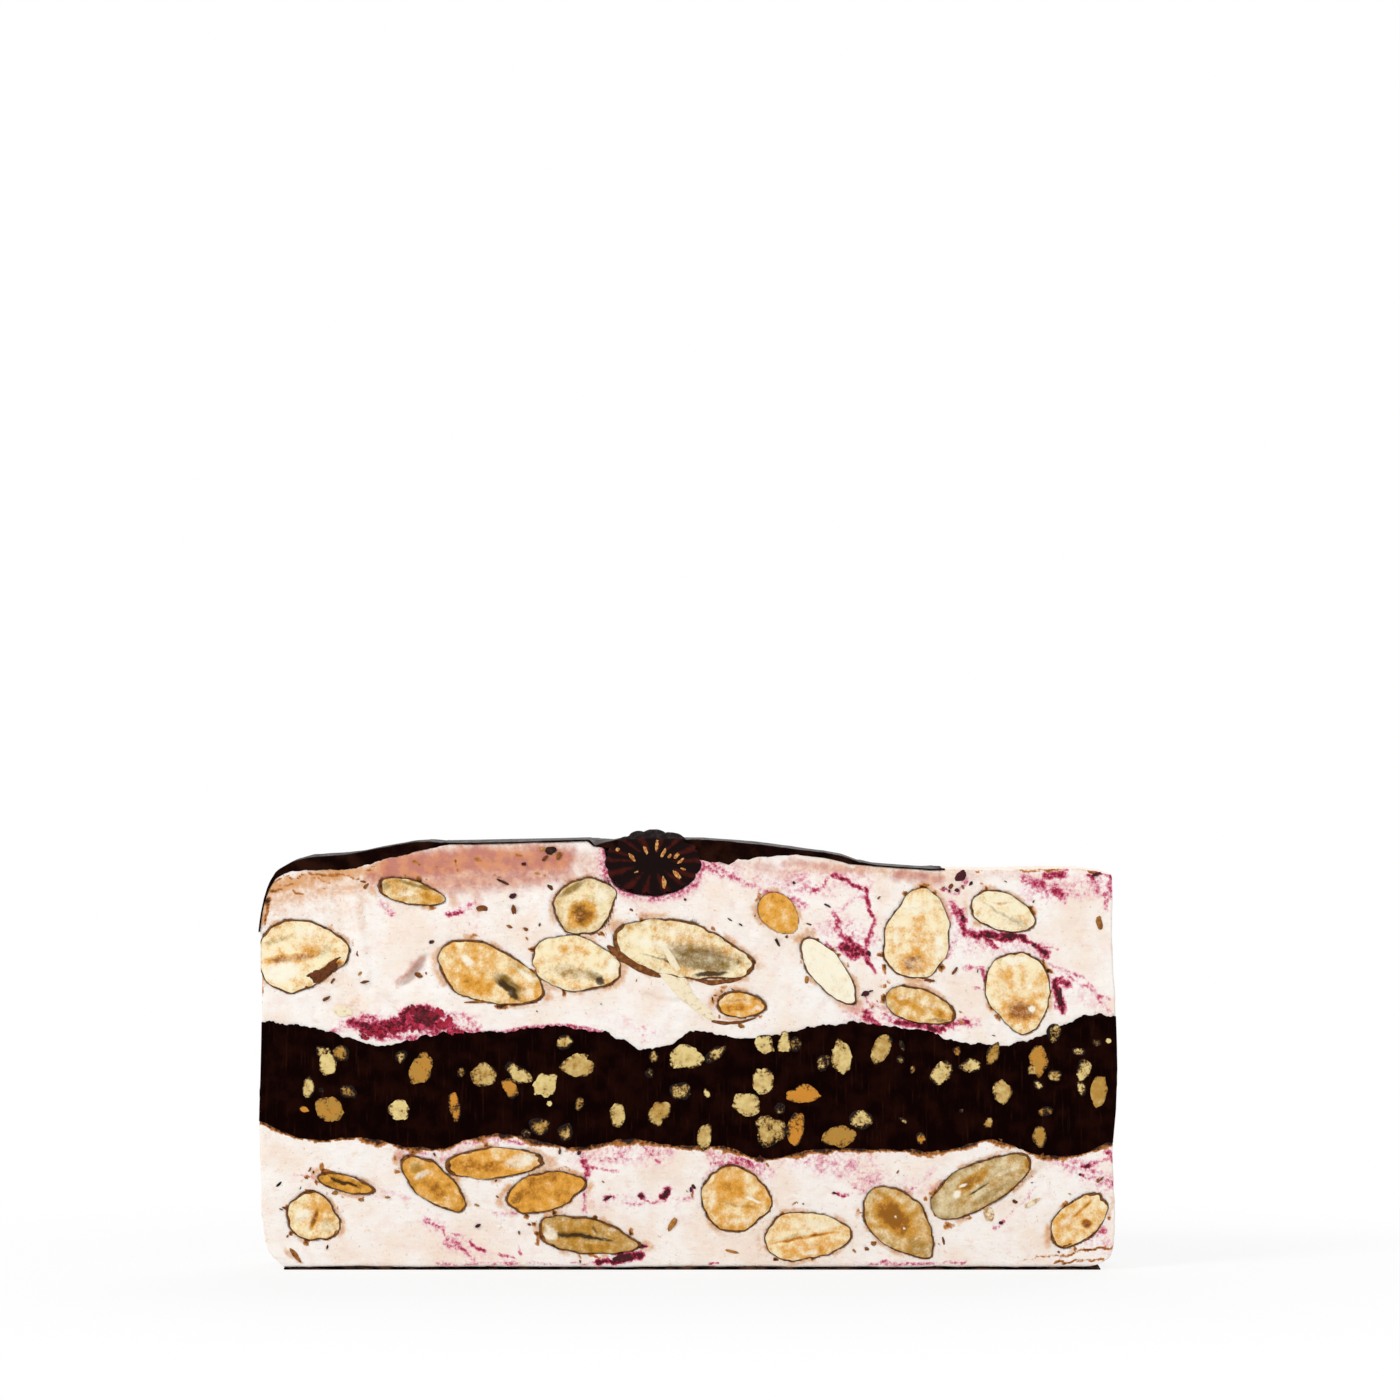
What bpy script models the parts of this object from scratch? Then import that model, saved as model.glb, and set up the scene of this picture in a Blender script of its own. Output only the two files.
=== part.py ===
"""A slice of layered soft nougat, with almonds, a dark chocolate layer, a chocolate coat and a berry.

The slice stands on its chocolate base. Units are metres, +Z is up, +X runs along the slice, and its
front cut face looks along -Y. The origin is the middle of the underside. Tables of sizes are in
millimetres and degrees.
"""

import math
import random

import bmesh
import bpy
import numpy as np
from mathutils import Matrix, Vector

MM = 0.001

LENGTH = 150.0  # along X
DEPTH = 20.0  # along Y, from one cut face to the other
GAP = 0.3  # between pieces that touch
FRONT = -DEPTH / 2
SHARP_ANGLE = 35  # edges steeper than this stay sharp when a piece is shaded smooth

BASE_THICKNESS = 0.5
BASE_START = -70.5
BASE_END = 72.0

DEPTH_STATIONS = 5  # rings of each layer, from the front face to the back face
COLUMN_PITCH = 3.0  # spacing of the points along each layer
SHORTEST_COLUMN = 0.2  # no point lies nearer than this to a layer's end
CORNER_COLUMNS = (-74.4, -73.8, -73.0, -71.8)  # extra points round the coated corner
DRIFT_WAVE = 11.0  # length of the waves, over two pi, that a layer gains towards the back
FLOOR_DRIFT = (0.6, 3.0)  # how much the chocolate's floor rises and slides from the front to the back
ROOF_DRIFT = (0.5, -2.0)  # the same for its roof

# The waves where the layers meet, as (x, z) along the front cut face.
CHOCOLATE_FLOOR = (
    (-75, 26.2), (-71, 24.2), (-65, 22.6), (-58, 23.2), (-50, 21.7), (-43, 21.2), (-38, 23.1), (-33, 23.7),
    (-26, 22.5), (-19, 21.2), (-12, 22.7), (-1, 21.6), (7, 21.3), (14, 19.3), (20, 20.6), (34, 21.1),
    (45, 20.8), (54, 22.8), (62, 20.0), (70, 20.5), (75, 22.6),
)
CHOCOLATE_ROOF = (
    (-75, 43.1), (-69, 42.7), (-62, 41.0), (-55, 38.9), (-50, 39.6), (-43, 41.2), (-33, 41.2), (-24, 42.4),
    (-17, 41.7), (-12.5, 40.4), (-10, 38.8), (-6.5, 38.7), (-3, 39.5), (0, 41.3), (3, 41.3), (7, 40.3),
    (18, 41.3), (25, 42.6), (36, 42.4), (42, 41.2), (47, 39.8), (60, 39.9), (64.5, 41.9), (68, 44.0),
    (75, 44.0),
)
NOUGAT_ROOF = (
    (-75, 57.6), (-74.4, 60.4), (-73.8, 63.0), (-73, 65.2), (-71.8, 67.6), (-70, 69.3), (-67.5, 70.1),
    (-59, 70.4), (-55, 71.2), (-50, 72.9), (-41, 74.0), (-27, 74.5), (-17, 74.4), (-14, 73.2), (3, 71.2),
    (10, 71.4), (18, 71.9), (26, 70.8), (31, 70.4), (46, 69.7), (54, 69.6), (63, 69.8), (71, 69.6),
    (75, 68.6),
)
COAT_ROOF = (
    (-75, 59.6), (-74.4, 63.4), (-73.8, 66.0), (-73, 68.0), (-71.8, 69.9), (-70, 71.2), (-67.5, 72.0),
    (-59, 72.9), (-51, 74.4), (-46.5, 75.1), (-41, 75.2), (-17, 75.6), (-14, 75.6), (3, 75.4), (13, 74.6),
    (21, 73.6), (26, 72.9), (31, 71.5), (38, 70.9), (46, 70.5), (75, 70.5),
)
COAT_END = 46.0  # where the coat has thinned out

# The two ends of the slice, as (z, x).
LEFT_END = (
    (0, -71.0), (4, -74.0), (12, -74.4), (19, -74.8), (25, -75.0), (31, -74.8), (44, -74.5), (62, -74.4),
    (80, -74.4),
)
RIGHT_END = (
    (0, 72.0), (3, 74.0), (14, 74.4), (21, 74.2), (28, 74.8), (36, 75.0), (44, 74.8), (56, 74.2),
    (80, 74.4),
)
END_ROWS = (0.25, 0.5, 0.75)  # extra points up each end of a layer, as shares of its height

# The almonds cut open in the front face: x, z, length, breadth, tilt of the long axis above +X.
UPPER_ALMONDS = (
    (-67.8, 54.8, 17.0, 12.0, 8), (-48.5, 65.9, 12.5, 4.2, -13), (-17.8, 63.8, 12.0, 9.4, 25),
    (-34.4, 51.3, 19.3, 9.8, -20), (-19.2, 53.4, 16.6, 8.8, -12), (-0.6, 55.5, 24.2, 9.4, -11),
    (9.6, 46.2, 9.8, 4.8, -5), (15.9, 62.1, 7.6, 5.6, -50), (24.8, 51.8, 15.0, 5.6, -52),
    (40.1, 58.6, 15.6, 11.2, 84), (40.5, 45.9, 13.2, 6.0, -17), (55.1, 62.4, 12.0, 6.8, -22),
    (57.7, 48.4, 14.8, 10.6, -77),
)
LOWER_ALMONDS = (
    (-65.2, 9.1, 10.5, 7.6, -28), (-59.2, 14.9, 10.8, 3.0, -14), (-44.3, 14.9, 13.4, 6.0, -40),
    (-33.4, 18.7, 18.0, 5.0, 3), (-24.6, 13.6, 14.0, 6.6, 14), (-17.6, 5.7, 17.4, 6.2, -9),
    (8.5, 12.4, 12.9, 11.0, -10), (20.9, 5.9, 15.0, 8.4, 3), (37.2, 8.0, 15.2, 9.2, -48),
    (51.2, 14.9, 19.6, 8.0, 28), (68.4, 8.9, 12.2, 6.8, 42),
)
# Rows of almonds in the back face: layer, height, how many, usual length. The rest is drawn at random.
BACK_ROWS = (("upper", 63.0, 5, 12.5), ("upper", 50.5, 5, 14.5), ("lower", 10.8, 6, 14.5))
BACK_SEED = 12
BACK_HALF_RUN = 64.0  # the rows run this far each way
BACK_SHIFT = (2.0, 1.0)  # most that an almond leaves its place in the row, along it and up or down
BACK_LENGTHS = (0.85, 1.1)  # shares of the usual length
BACK_BREADTHS = (0.42, 0.62)  # shares of the almond's own length
BACK_TILT = 40

ALMOND_TAPER = 0.22  # how much narrower than an ellipse the pointed end is
ALMOND_DEPTH_SHARE = 0.42  # how far an almond reaches behind the cut face, as a share of its breadth
ALMOND_MOST_DEPTH = 4.6
ALMOND_RINGS = 6
ALMOND_SPOKES = 5

BERRY_CENTRE = (-6.1, 71.1)
BERRY_RADII = (8.7, 7.6, 6.0)
BERRY_SUBDIVISIONS = 4
DRUPELETS = 58
DRUPELET_REACH = 0.30  # radius of a drupelet's cap, in radians
DRUPELET_HEIGHT = 0.085  # share of the berry's radius

COLOURS = {
    "nougat": ((0.93, 0.82, 0.72), 0.62),
    "chocolate": ((0.020, 0.008, 0.006), 0.42),
    "almond": ((0.80, 0.56, 0.28), 0.55),
    "berry": ((0.030, 0.006, 0.008), 0.35),
}


def material(name):
    """The Principled material of a kind of piece, made once."""
    colour, roughness = COLOURS[name]
    made = bpy.data.materials.get(name) or bpy.data.materials.new(name)
    made.use_nodes = True
    shader = made.node_tree.nodes["Principled BSDF"]
    shader.inputs["Base Color"].default_value = (*colour, 1.0)
    shader.inputs["Roughness"].default_value = roughness
    shader.inputs["Metallic"].default_value = 0.0
    return made


def add_piece(name, bm, material_name):
    """One object from a bmesh drawn in millimetres, with its normals outward."""
    bmesh.ops.recalc_face_normals(bm, faces=bm.faces)
    bmesh.ops.scale(bm, vec=(MM, MM, MM), verts=bm.verts)
    mesh = bpy.data.meshes.new(name)
    bm.to_mesh(mesh)
    bm.free()
    mesh.shade_smooth()
    mesh.set_sharp_from_angle(angle=math.radians(SHARP_ANGLE))
    mesh.materials.append(material(material_name))
    piece = bpy.data.objects.new(name, mesh)
    bpy.context.scene.collection.objects.link(piece)
    return piece


def curve_through(points):
    """A smooth curve through (position, value) points: Hermite spans, with slopes from the neighbours."""
    positions, values = np.array(points, float).T
    slopes = np.gradient(values, positions)

    def value_at(position):
        span = np.clip(np.searchsorted(positions, position) - 1, 0, len(positions) - 2)
        width = positions[span + 1] - positions[span]
        t = np.clip((position - positions[span]) / width, 0.0, 1.0)
        near = values[span] * (1 + 2 * t) * (1 - t) ** 2 + slopes[span] * width * t * (1 - t) ** 2
        far = values[span + 1] * t * t * (3 - 2 * t) - slopes[span + 1] * width * t * t * (1 - t)
        return near + far

    return value_at


def drifting(profile, drift=0.0, shift=0.0):
    """A height over the slice: the front face's profile, whose waves slide and rise towards the back."""

    def height(x, share):
        moved = np.clip(x + shift * share, -LENGTH / 2, LENGTH / 2)
        return profile(moved) * share + profile(x) * (1 - share) + drift * share * np.sin(x / DRIFT_WAVE)

    return height


left_end = curve_through(LEFT_END)
right_end = curve_through(RIGHT_END)
chocolate_floor = drifting(curve_through(CHOCOLATE_FLOOR), *FLOOR_DRIFT)
chocolate_roof = drifting(curve_through(CHOCOLATE_ROOF), *ROOF_DRIFT)
nougat_roof = drifting(curve_through(NOUGAT_ROOF))
coat_roof = drifting(curve_through(COAT_ROOF))


def flat(height):
    """A level surface."""
    return lambda x, share: np.full_like(x, height)


def raised(surface, by):
    """A surface moved up."""
    return lambda x, share: surface(x, share) + by


def columns(start, end):
    """Places of a layer's points along X, from start to end, closer round the coated corner."""
    count = round(LENGTH / COLUMN_PITCH)
    every = np.union1d(np.linspace(-LENGTH / 2, LENGTH / 2, count + 1), CORNER_COLUMNS)
    inside = every[(every > start + SHORTEST_COLUMN) & (every < end - SHORTEST_COLUMN)]
    return np.concatenate(([start], inside, [end]))


def layer_ring(floor, roof, share, start=None, end=None):
    """The outline of a layer where the depth is that share of the way to the back, as (x, z) points."""

    def end_x(side, surface):
        guess = np.array([math.copysign(LENGTH / 2, side(0.0))])
        return float(side(surface(guess, share)[0]))

    corners = [
        end_x(left_end, floor) if start is None else start,
        end_x(right_end, floor) if end is None else end,
        end_x(right_end, roof) if end is None else end,
        end_x(left_end, roof) if start is None else start,
    ]
    bottom_x = columns(corners[0], corners[1])
    top_x = columns(corners[3], corners[2])[::-1]
    bottom = np.column_stack((bottom_x, floor(bottom_x, share)))
    top = np.column_stack((top_x, roof(top_x, share)))

    def end_points(low, high, side, fixed):
        rows = low[1] + (high[1] - low[1]) * np.array(END_ROWS)
        across = side(rows) if fixed is None else np.full_like(rows, fixed)
        return np.column_stack((across, rows))

    right = end_points(bottom[-1], top[0], right_end, end)
    left = end_points(bottom[0], top[-1], left_end, start)[::-1]
    return np.concatenate((bottom, right, top, left))


def loft(rings, depths):
    """A closed body from outlines with the same number of points, one at each depth."""
    bm = bmesh.new()
    loops = [[bm.verts.new((x, y, z)) for x, z in ring] for ring, y in zip(rings, depths)]
    count = len(loops[0])
    for near, far in zip(loops, loops[1:]):
        for i in range(count):
            j = (i + 1) % count
            bm.faces.new((near[i], near[j], far[j], far[i]))
    bm.faces.new(loops[0])
    bm.faces.new(loops[-1])
    return bm


def add_layer(name, material_name, floor, roof, start=None, end=None):
    """A layer between two surfaces, through the whole depth of the slice."""
    shares = np.linspace(0.0, 1.0, DEPTH_STATIONS)
    rings = [layer_ring(floor, roof, share, start, end) for share in shares]
    return add_piece(name, loft(rings, FRONT + DEPTH * shares), material_name)


def almond_body(length, breadth, reach, whole, grow=0.0):
    """An almond lying along +X with its cut face in the plane Y = 0, or the whole almond.

    At a share s of the half length, its half breadth is sqrt(1 - s^2) * (1 - taper * s).
    """
    bm = bmesh.new()
    turns = 2 * ALMOND_SPOKES if whole else ALMOND_SPOKES + 1
    full_turn = 2 * math.pi if whole else math.pi
    steps = turns if whole else turns - 1
    stations = -np.cos(np.linspace(0, math.pi, ALMOND_RINGS + 2))[1:-1]
    half_length, half_breadth, half_depth = length / 2 + grow, breadth / 2 + grow, reach + grow
    rings = []
    for s in stations:
        radius = math.sqrt(1 - s * s) * (1 - ALMOND_TAPER * s)
        ring = []
        for k in range(turns):
            angle = full_turn * k / steps
            across = (half_depth * radius * math.sin(angle), half_breadth * radius * math.cos(angle))
            ring.append(bm.verts.new((s * half_length, *across)))
        rings.append(ring)
    tips = [bm.verts.new((side * half_length, 0.0, 0.0)) for side in (-1, 1)]
    pairs = [(k, (k + 1) % turns) for k in range(turns if whole else turns - 1)]
    for near, far in zip(rings, rings[1:]):
        for a, b in pairs:
            bm.faces.new((near[a], near[b], far[b], far[a]))
    for tip, ring in zip(tips, (rings[0], rings[-1])):
        for a, b in pairs:
            bm.faces.new((tip, ring[a], ring[b]))
    if not whole:
        rim = [tips[0]] + [ring[0] for ring in rings] + [tips[1]] + [ring[-1] for ring in reversed(rings)]
        bm.faces.new(rim)
    return bm


def trim(bm, x, keep_right):
    """Cuts a body off flat at x."""
    geometry = list(bm.verts) + list(bm.edges) + list(bm.faces)
    cut = bmesh.ops.bisect_plane(
        bm,
        geom=geometry,
        plane_co=(x, 0, 0),
        plane_no=(1, 0, 0),
        clear_inner=keep_right,
        clear_outer=not keep_right,
    )
    edges = [item for item in cut["geom_cut"] if isinstance(item, bmesh.types.BMEdge)]
    bmesh.ops.contextual_create(bm, geom=edges)


def place_almond(bm, x, z, tilt, facing):
    """Turns an almond's long axis up by tilt and sets its cut face in the front (-1) or back (1) face."""
    turn = Matrix.Rotation(-math.radians(tilt), 4, "Y")
    if facing > 0:
        turn = Matrix.Scale(-1, 4, Vector((0, 1, 0))) @ turn
    bmesh.ops.transform(bm, matrix=Matrix.Translation((x, facing * DEPTH / 2, z)) @ turn, verts=bm.verts)


def add_almond(name, pockets, x, z, length, breadth, tilt, facing=-1):
    """A cut almond in a face of the slice, and the cutter of its pocket, with a gap all round."""
    reach = min(ALMOND_MOST_DEPTH, ALMOND_DEPTH_SHARE * breadth)
    half = almond_body(length, breadth, reach, whole=False)
    place_almond(half, x, z, tilt, facing)
    if x - length / 2 < -LENGTH / 2:
        trim(half, float(left_end(z)), keep_right=True)
    add_piece(name, half, "almond")
    room = almond_body(length, breadth, reach, whole=True, grow=GAP)
    place_almond(room, x, z, tilt, facing)
    pocket = add_piece("pocket_" + name, room, "almond")
    bpy.context.scene.collection.objects.unlink(pocket)
    pockets.objects.link(pocket)
    pocket.hide_render = True
    pocket.display_type = "WIRE"


def back_almonds():
    """Sizes and places of the almonds in the back face, one row after another."""
    draw = random.Random(BACK_SEED)
    for layer, height, count, usual in BACK_ROWS:
        pitch = 2 * BACK_HALF_RUN / (count - 1)
        for i in range(count):
            x = -BACK_HALF_RUN + pitch * i + draw.uniform(-BACK_SHIFT[0], BACK_SHIFT[0])
            z = height + draw.uniform(-BACK_SHIFT[1], BACK_SHIFT[1])
            length = usual * draw.uniform(*BACK_LENGTHS)
            breadth = length * draw.uniform(*BACK_BREADTHS)
            yield layer, (x, z, length, breadth, draw.uniform(-BACK_TILT, BACK_TILT))


def berry_body(whole, grow=0.0):
    """A berry cut through its middle: an ellipsoid whose round drupelets follow the golden angle."""
    index = np.arange(DRUPELETS)
    height = 1 - 2 * (index + 0.5) / DRUPELETS
    angle = index * math.pi * (3 - math.sqrt(5))
    flat_radius = np.sqrt(1 - height**2)
    centres = np.column_stack((flat_radius * np.cos(angle), height, flat_radius * np.sin(angle)))
    bm = bmesh.new()
    bmesh.ops.create_icosphere(bm, subdivisions=BERRY_SUBDIVISIONS, radius=1.0)
    for vertex in bm.verts:
        direction = vertex.co.normalized()
        nearest = np.arccos(np.clip(centres @ np.array(direction), -1, 1)).min()
        cap = math.sqrt(max(0.0, 1 - (nearest / DRUPELET_REACH) ** 2))
        swell = 1 - DRUPELET_HEIGHT * (1 - cap)
        vertex.co = Vector([direction[i] * (BERRY_RADII[i] * swell + grow) for i in range(3)])
    if not whole:
        geometry = list(bm.verts) + list(bm.edges) + list(bm.faces)
        cut = bmesh.ops.bisect_plane(
            bm, geom=geometry, plane_co=(0, 0, 0), plane_no=(0, 1, 0), clear_inner=True
        )
        edges = [item for item in cut["geom_cut"] if isinstance(item, bmesh.types.BMEdge)]
        bmesh.ops.contextual_create(bm, geom=edges)
    x, z = BERRY_CENTRE
    bmesh.ops.translate(bm, vec=(x, FRONT, z), verts=bm.verts)
    return bm


def cut_with(piece, **operand):
    """Takes another object, or a collection of them, out of a piece."""
    cut = piece.modifiers.new("cut", "BOOLEAN")
    cut.operation = "DIFFERENCE"
    for setting, value in operand.items():
        setattr(cut, setting, value)


def build():
    """Makes every piece, and cuts the pockets of the almonds and the berry into their layers."""
    for old in list(bpy.data.objects):
        bpy.data.objects.remove(old)
    pockets = {layer: bpy.data.collections.new(layer + "_pockets") for layer in ("upper", "lower")}
    for collection in pockets.values():
        bpy.context.scene.collection.children.link(collection)

    for layer, almonds in (("upper", UPPER_ALMONDS), ("lower", LOWER_ALMONDS)):
        for number, sizes in enumerate(almonds, 1):
            add_almond(f"{layer}_almond_{number:02d}", pockets[layer], *sizes)
    for number, (layer, sizes) in enumerate(back_almonds(), 1):
        add_almond(f"back_{layer}_almond_{number:02d}", pockets[layer], *sizes, facing=1)

    add_layer("base_coat", "chocolate", flat(0.0), flat(BASE_THICKNESS), BASE_START, BASE_END)
    lower = add_layer("lower_nougat", "nougat", flat(BASE_THICKNESS + GAP), raised(chocolate_floor, -GAP))
    add_layer("chocolate_layer", "chocolate", chocolate_floor, chocolate_roof)
    upper = add_layer("upper_nougat", "nougat", raised(chocolate_roof, GAP), nougat_roof)
    coat = add_layer("top_coat", "chocolate", raised(nougat_roof, GAP), coat_roof, -LENGTH / 2, COAT_END)

    add_piece("berry", berry_body(whole=False), "berry")
    room = add_piece("berry_room", berry_body(whole=True, grow=GAP), "berry")
    room.hide_render = True
    room.display_type = "WIRE"
    cut_with(lower, operand_type="COLLECTION", collection=pockets["lower"])
    cut_with(upper, operand_type="COLLECTION", collection=pockets["upper"])
    for piece in (upper, coat):
        cut_with(piece, object=room)


build()
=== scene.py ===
# %% [markdown]
# # A slice of layered soft nougat
#
# The sweet is a thick slice cut from a slab: whipped egg-white nougat with whole almonds in it, a layer
# of dark chocolate full of chopped nuts, more nougat, and a thin coat of chocolate on top. A berry was
# cut with the slice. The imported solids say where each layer, almond and coat is. This file gives each of
# them its real surface: a grid of points worked out with numpy, and a material for what it is made of.

import math

import bpy
import numpy as np
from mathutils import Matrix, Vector
from mathutils.bvhtree import BVHTree


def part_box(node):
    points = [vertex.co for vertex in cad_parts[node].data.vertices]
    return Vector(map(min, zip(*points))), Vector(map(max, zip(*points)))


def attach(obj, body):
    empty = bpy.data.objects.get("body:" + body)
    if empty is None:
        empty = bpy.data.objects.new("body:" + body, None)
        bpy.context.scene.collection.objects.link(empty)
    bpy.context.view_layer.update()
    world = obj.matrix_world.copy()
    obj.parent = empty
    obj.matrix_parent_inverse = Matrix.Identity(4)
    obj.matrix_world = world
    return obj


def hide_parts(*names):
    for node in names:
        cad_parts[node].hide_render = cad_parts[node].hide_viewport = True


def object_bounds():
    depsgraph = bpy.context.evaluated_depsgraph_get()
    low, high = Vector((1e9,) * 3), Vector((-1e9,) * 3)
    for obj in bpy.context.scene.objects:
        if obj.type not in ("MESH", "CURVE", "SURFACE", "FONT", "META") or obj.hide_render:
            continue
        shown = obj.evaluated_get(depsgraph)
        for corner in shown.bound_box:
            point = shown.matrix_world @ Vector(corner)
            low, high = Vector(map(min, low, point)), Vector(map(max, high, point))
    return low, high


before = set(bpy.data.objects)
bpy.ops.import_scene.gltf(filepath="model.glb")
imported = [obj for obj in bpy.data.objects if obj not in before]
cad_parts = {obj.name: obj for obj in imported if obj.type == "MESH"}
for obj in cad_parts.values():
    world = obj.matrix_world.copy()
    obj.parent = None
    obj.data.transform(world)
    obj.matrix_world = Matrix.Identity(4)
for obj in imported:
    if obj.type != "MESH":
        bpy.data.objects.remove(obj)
cad_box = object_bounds()
MM = 0.001
LOW = np.array(cad_box[0]) / MM
HIGH = np.array(cad_box[1]) / MM
FRONT = LOW[1]
DEPTH = HIGH[1] - LOW[1]
LENGTH = HIGH[0] - LOW[0]
print("slice", np.round(HIGH - LOW, 1), "mm,", len(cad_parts), "packed solids")

# %% [markdown]
# ## Reading the layers
#
# A layer's roof and floor could be typed in again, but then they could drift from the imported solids.
# Rays give them instead: straight down onto a solid for its roof, straight up for its floor, in a few
# rows from the front face to the back. Between the rays the heights are blended.

# %% Heights of the layers, from rays
RAY_PITCH = 0.5
ROW_INSET = 0.02  # the first and last rows of rays lie this far inside the two cut faces
LEAST_SLOPE = 0.1  # a ray that meets a steeper wall than this has missed the roof
ray_x = np.arange(LOW[0], HIGH[0] + RAY_PITCH / 2, RAY_PITCH)
ray_y = np.linspace(FRONT + ROW_INSET, HIGH[1] - ROW_INSET, 5)


def step(low, high, value):
    """0 below low, 1 above high, and an even S-curve between them."""
    t = np.clip((value - low) / (high - low), 0, 1)
    return t * t * (3 - 2 * t)


def tree_of(*nodes):
    """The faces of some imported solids, ready for rays."""
    points, faces = [], []
    for node in nodes:
        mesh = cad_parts[node].data
        first = len(points)
        points += [v.co / MM for v in mesh.vertices]
        faces += [[first + i for i in p.vertices] for p in mesh.polygons]
    return BVHTree.FromPolygons(points, faces)


def sampled(node, upward, rows=ray_y):
    """The height of a solid's roof, or of its floor if the rays go upward, as a function of x and y.

    Each row of rays gives a line of heights over x. A height in between is blended from the two rows
    on either side, in proportion to how near they are.
    """
    tree = tree_of(node)
    start = LOW[2] - 10 if upward else HIGH[2] + 10
    way = Vector((0, 0, 1 if upward else -1))
    lines = []
    for y in rows:
        hits = [tree.ray_cast(Vector((x, y, start)), way)[:2] for x in ray_x]
        met = np.array([hit is not None and abs(out.z) > LEAST_SLOPE for hit, out in hits])
        found = np.array([hit.z for (hit, out), good in zip(hits, met) if good])
        lines.append(np.interp(ray_x, ray_x[met], found))
    lines = np.array(lines)

    def height(x, y):
        """The height at x and y, blended from the four nearest rays."""
        row = 0 * y
        if len(rows) > 1:
            row = np.clip((y - rows[0]) / (rows[-1] - rows[0]), 0, 1) * (len(rows) - 1)
        below = np.clip(np.floor(row).astype(int), 0, max(0, len(rows) - 2))
        share = row - below
        column = np.clip((x - ray_x[0]) / RAY_PITCH, 0, len(ray_x) - 1.001)
        left = column.astype(int)
        along = column - left
        above = np.minimum(below + 1, len(rows) - 1)
        near = lines[below, left] * (1 - along) + lines[below, left + 1] * along
        far = lines[above, left] * (1 - along) + lines[above, left + 1] * along
        return near * (1 - share) + far * share

    return height


BEHIND_BERRY = np.array([HIGH[1] - 2.0])  # one row of rays where the berry's hollow doesn't reach
choc_roof = sampled("chocolate_layer", upward=False)
choc_floor = sampled("chocolate_layer", upward=True)
packed_nougat = sampled("upper_nougat", upward=False, rows=BEHIND_BERRY)
packed_coat = sampled("top_coat", upward=False, rows=BEHIND_BERRY)
coat_box = [np.array(corner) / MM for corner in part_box("top_coat")]
berry_box = [np.array(corner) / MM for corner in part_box("berry")]


# %% How thick the coat is along the cut: x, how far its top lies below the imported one, thickness
COAT_CUT = (
    (-75.0, 0.1, 1.2), (-72.0, 0.1, 1.5), (-69.0, 0.2, 1.9), (-66.0, 0.2, 2.5), (-62.6, 0.2, 2.7),
    (-59.2, 0.2, 2.9), (-55.7, 0.2, 2.5), (-52.3, 0.2, 2.1), (-48.8, 0.2, 2.1), (-45.4, 0.3, 1.6),
    (-43.0, 0.5, 0.8), (-41.5, 0.65, 0.34), (-38.0, 0.7, 0.26), (-30.0, 0.75, 0.26), (-20.0, 0.55, 0.28),
    (-17.2, 0.5, 0.3), (-16.2, 1.6, 0.3), (-15.2, 1.0, 1.0), (-12.0, 0.4, 2.0), (0.0, 0.3, 3.5),
    (2.0, 0.2, 3.7), (5.0, 0.2, 4.0), (7.3, 0.2, 4.6), (8.7, 0.25, 3.3), (12.0, 0.3, 2.6),
    (15.5, 0.3, 1.7), (19.0, 0.3, 1.2), (24.0, 0.3, 1.2), (28.3, 0.35, 1.3), (30.0, 0.5, 0.7),
    (33.0, 0.55, 0.28), (41.7, 0.6, 0.2), (46.0, 0.7, 0.12),
)
RIGHT_RISE = 0.3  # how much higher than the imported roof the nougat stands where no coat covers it
cut_x, cut_fall, cut_thick = np.array(COAT_CUT).T


def coat_roof(x, y):
    """The coat's top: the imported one, lowered a little. The dent beside the berry runs out behind it."""
    fall = np.interp(x, cut_x, cut_fall)
    return packed_coat(x, y) - fall + np.maximum(fall - 0.6, 0) * step(FRONT + 1, FRONT + 7, y)


def coat_floor(x, y):
    """The coat's underside, by its thickness."""
    return coat_roof(x, y) - np.interp(x, cut_x, cut_thick)


def nougat_roof(x, y):
    """The upper nougat's top: just under the coat's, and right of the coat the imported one."""
    covered = np.minimum(coat_floor(x, y) + 0.5, coat_roof(x, y) - 0.12)
    bare = step(cut_x[-1] - 3, cut_x[-1], x)
    return covered * (1 - bare) + (packed_nougat(x, y) + RIGHT_RISE) * bare


# %% Both ends of the slice, from level rays
END_LAYERS = ("lower_nougat", "chocolate_layer", "upper_nougat")
end_z = np.linspace(1.0, 68.0, 135)
ends = tree_of(*END_LAYERS)


# The bottom corners are bent round, and at the top the coat's own bend takes over: z and x of each.
ROUNDED = {
    -1: ((0.3, -70.8), (1.2, -71.5), (2.0, -72.4), (3.2, -73.4), (4.5, -73.9), (6.5, -74.2), (8.0, -74.3)),
    1: ((0.5, 70.5), (1.0, 72.2), (1.8, 73.5), (2.5, 74.0), (3.9, 74.3), (6.5, 74.6), (8.0, 74.6)),
}
SHOULDER = 57.0


def end_line(side):
    """Where the slice ends at each height, on the left (-1) or the right (1)."""
    low = np.array(ROUNDED[side])
    middle = end_z[(end_z > low[-1, 0] + 1) & (end_z < SHOULDER)]
    met = [ends.ray_cast(Vector((side * 200.0, 0.0, z)), Vector((-side, 0, 0)))[0].x for z in middle]
    windows = np.lib.stride_tricks.sliding_window_view(np.pad(met, 4, mode="edge"), 9)
    found = np.median(windows, axis=1)  # drops the rays that slipped through the gap between two layers
    top_x = LOW[0] + 0.1 if side < 0 else found[-1]
    heights = np.concatenate((low[:, 0], middle, [SHOULDER + 3]))
    line = np.concatenate((low[:, 1], found, [top_x]))
    return lambda z: np.interp(z, heights, line)


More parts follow.
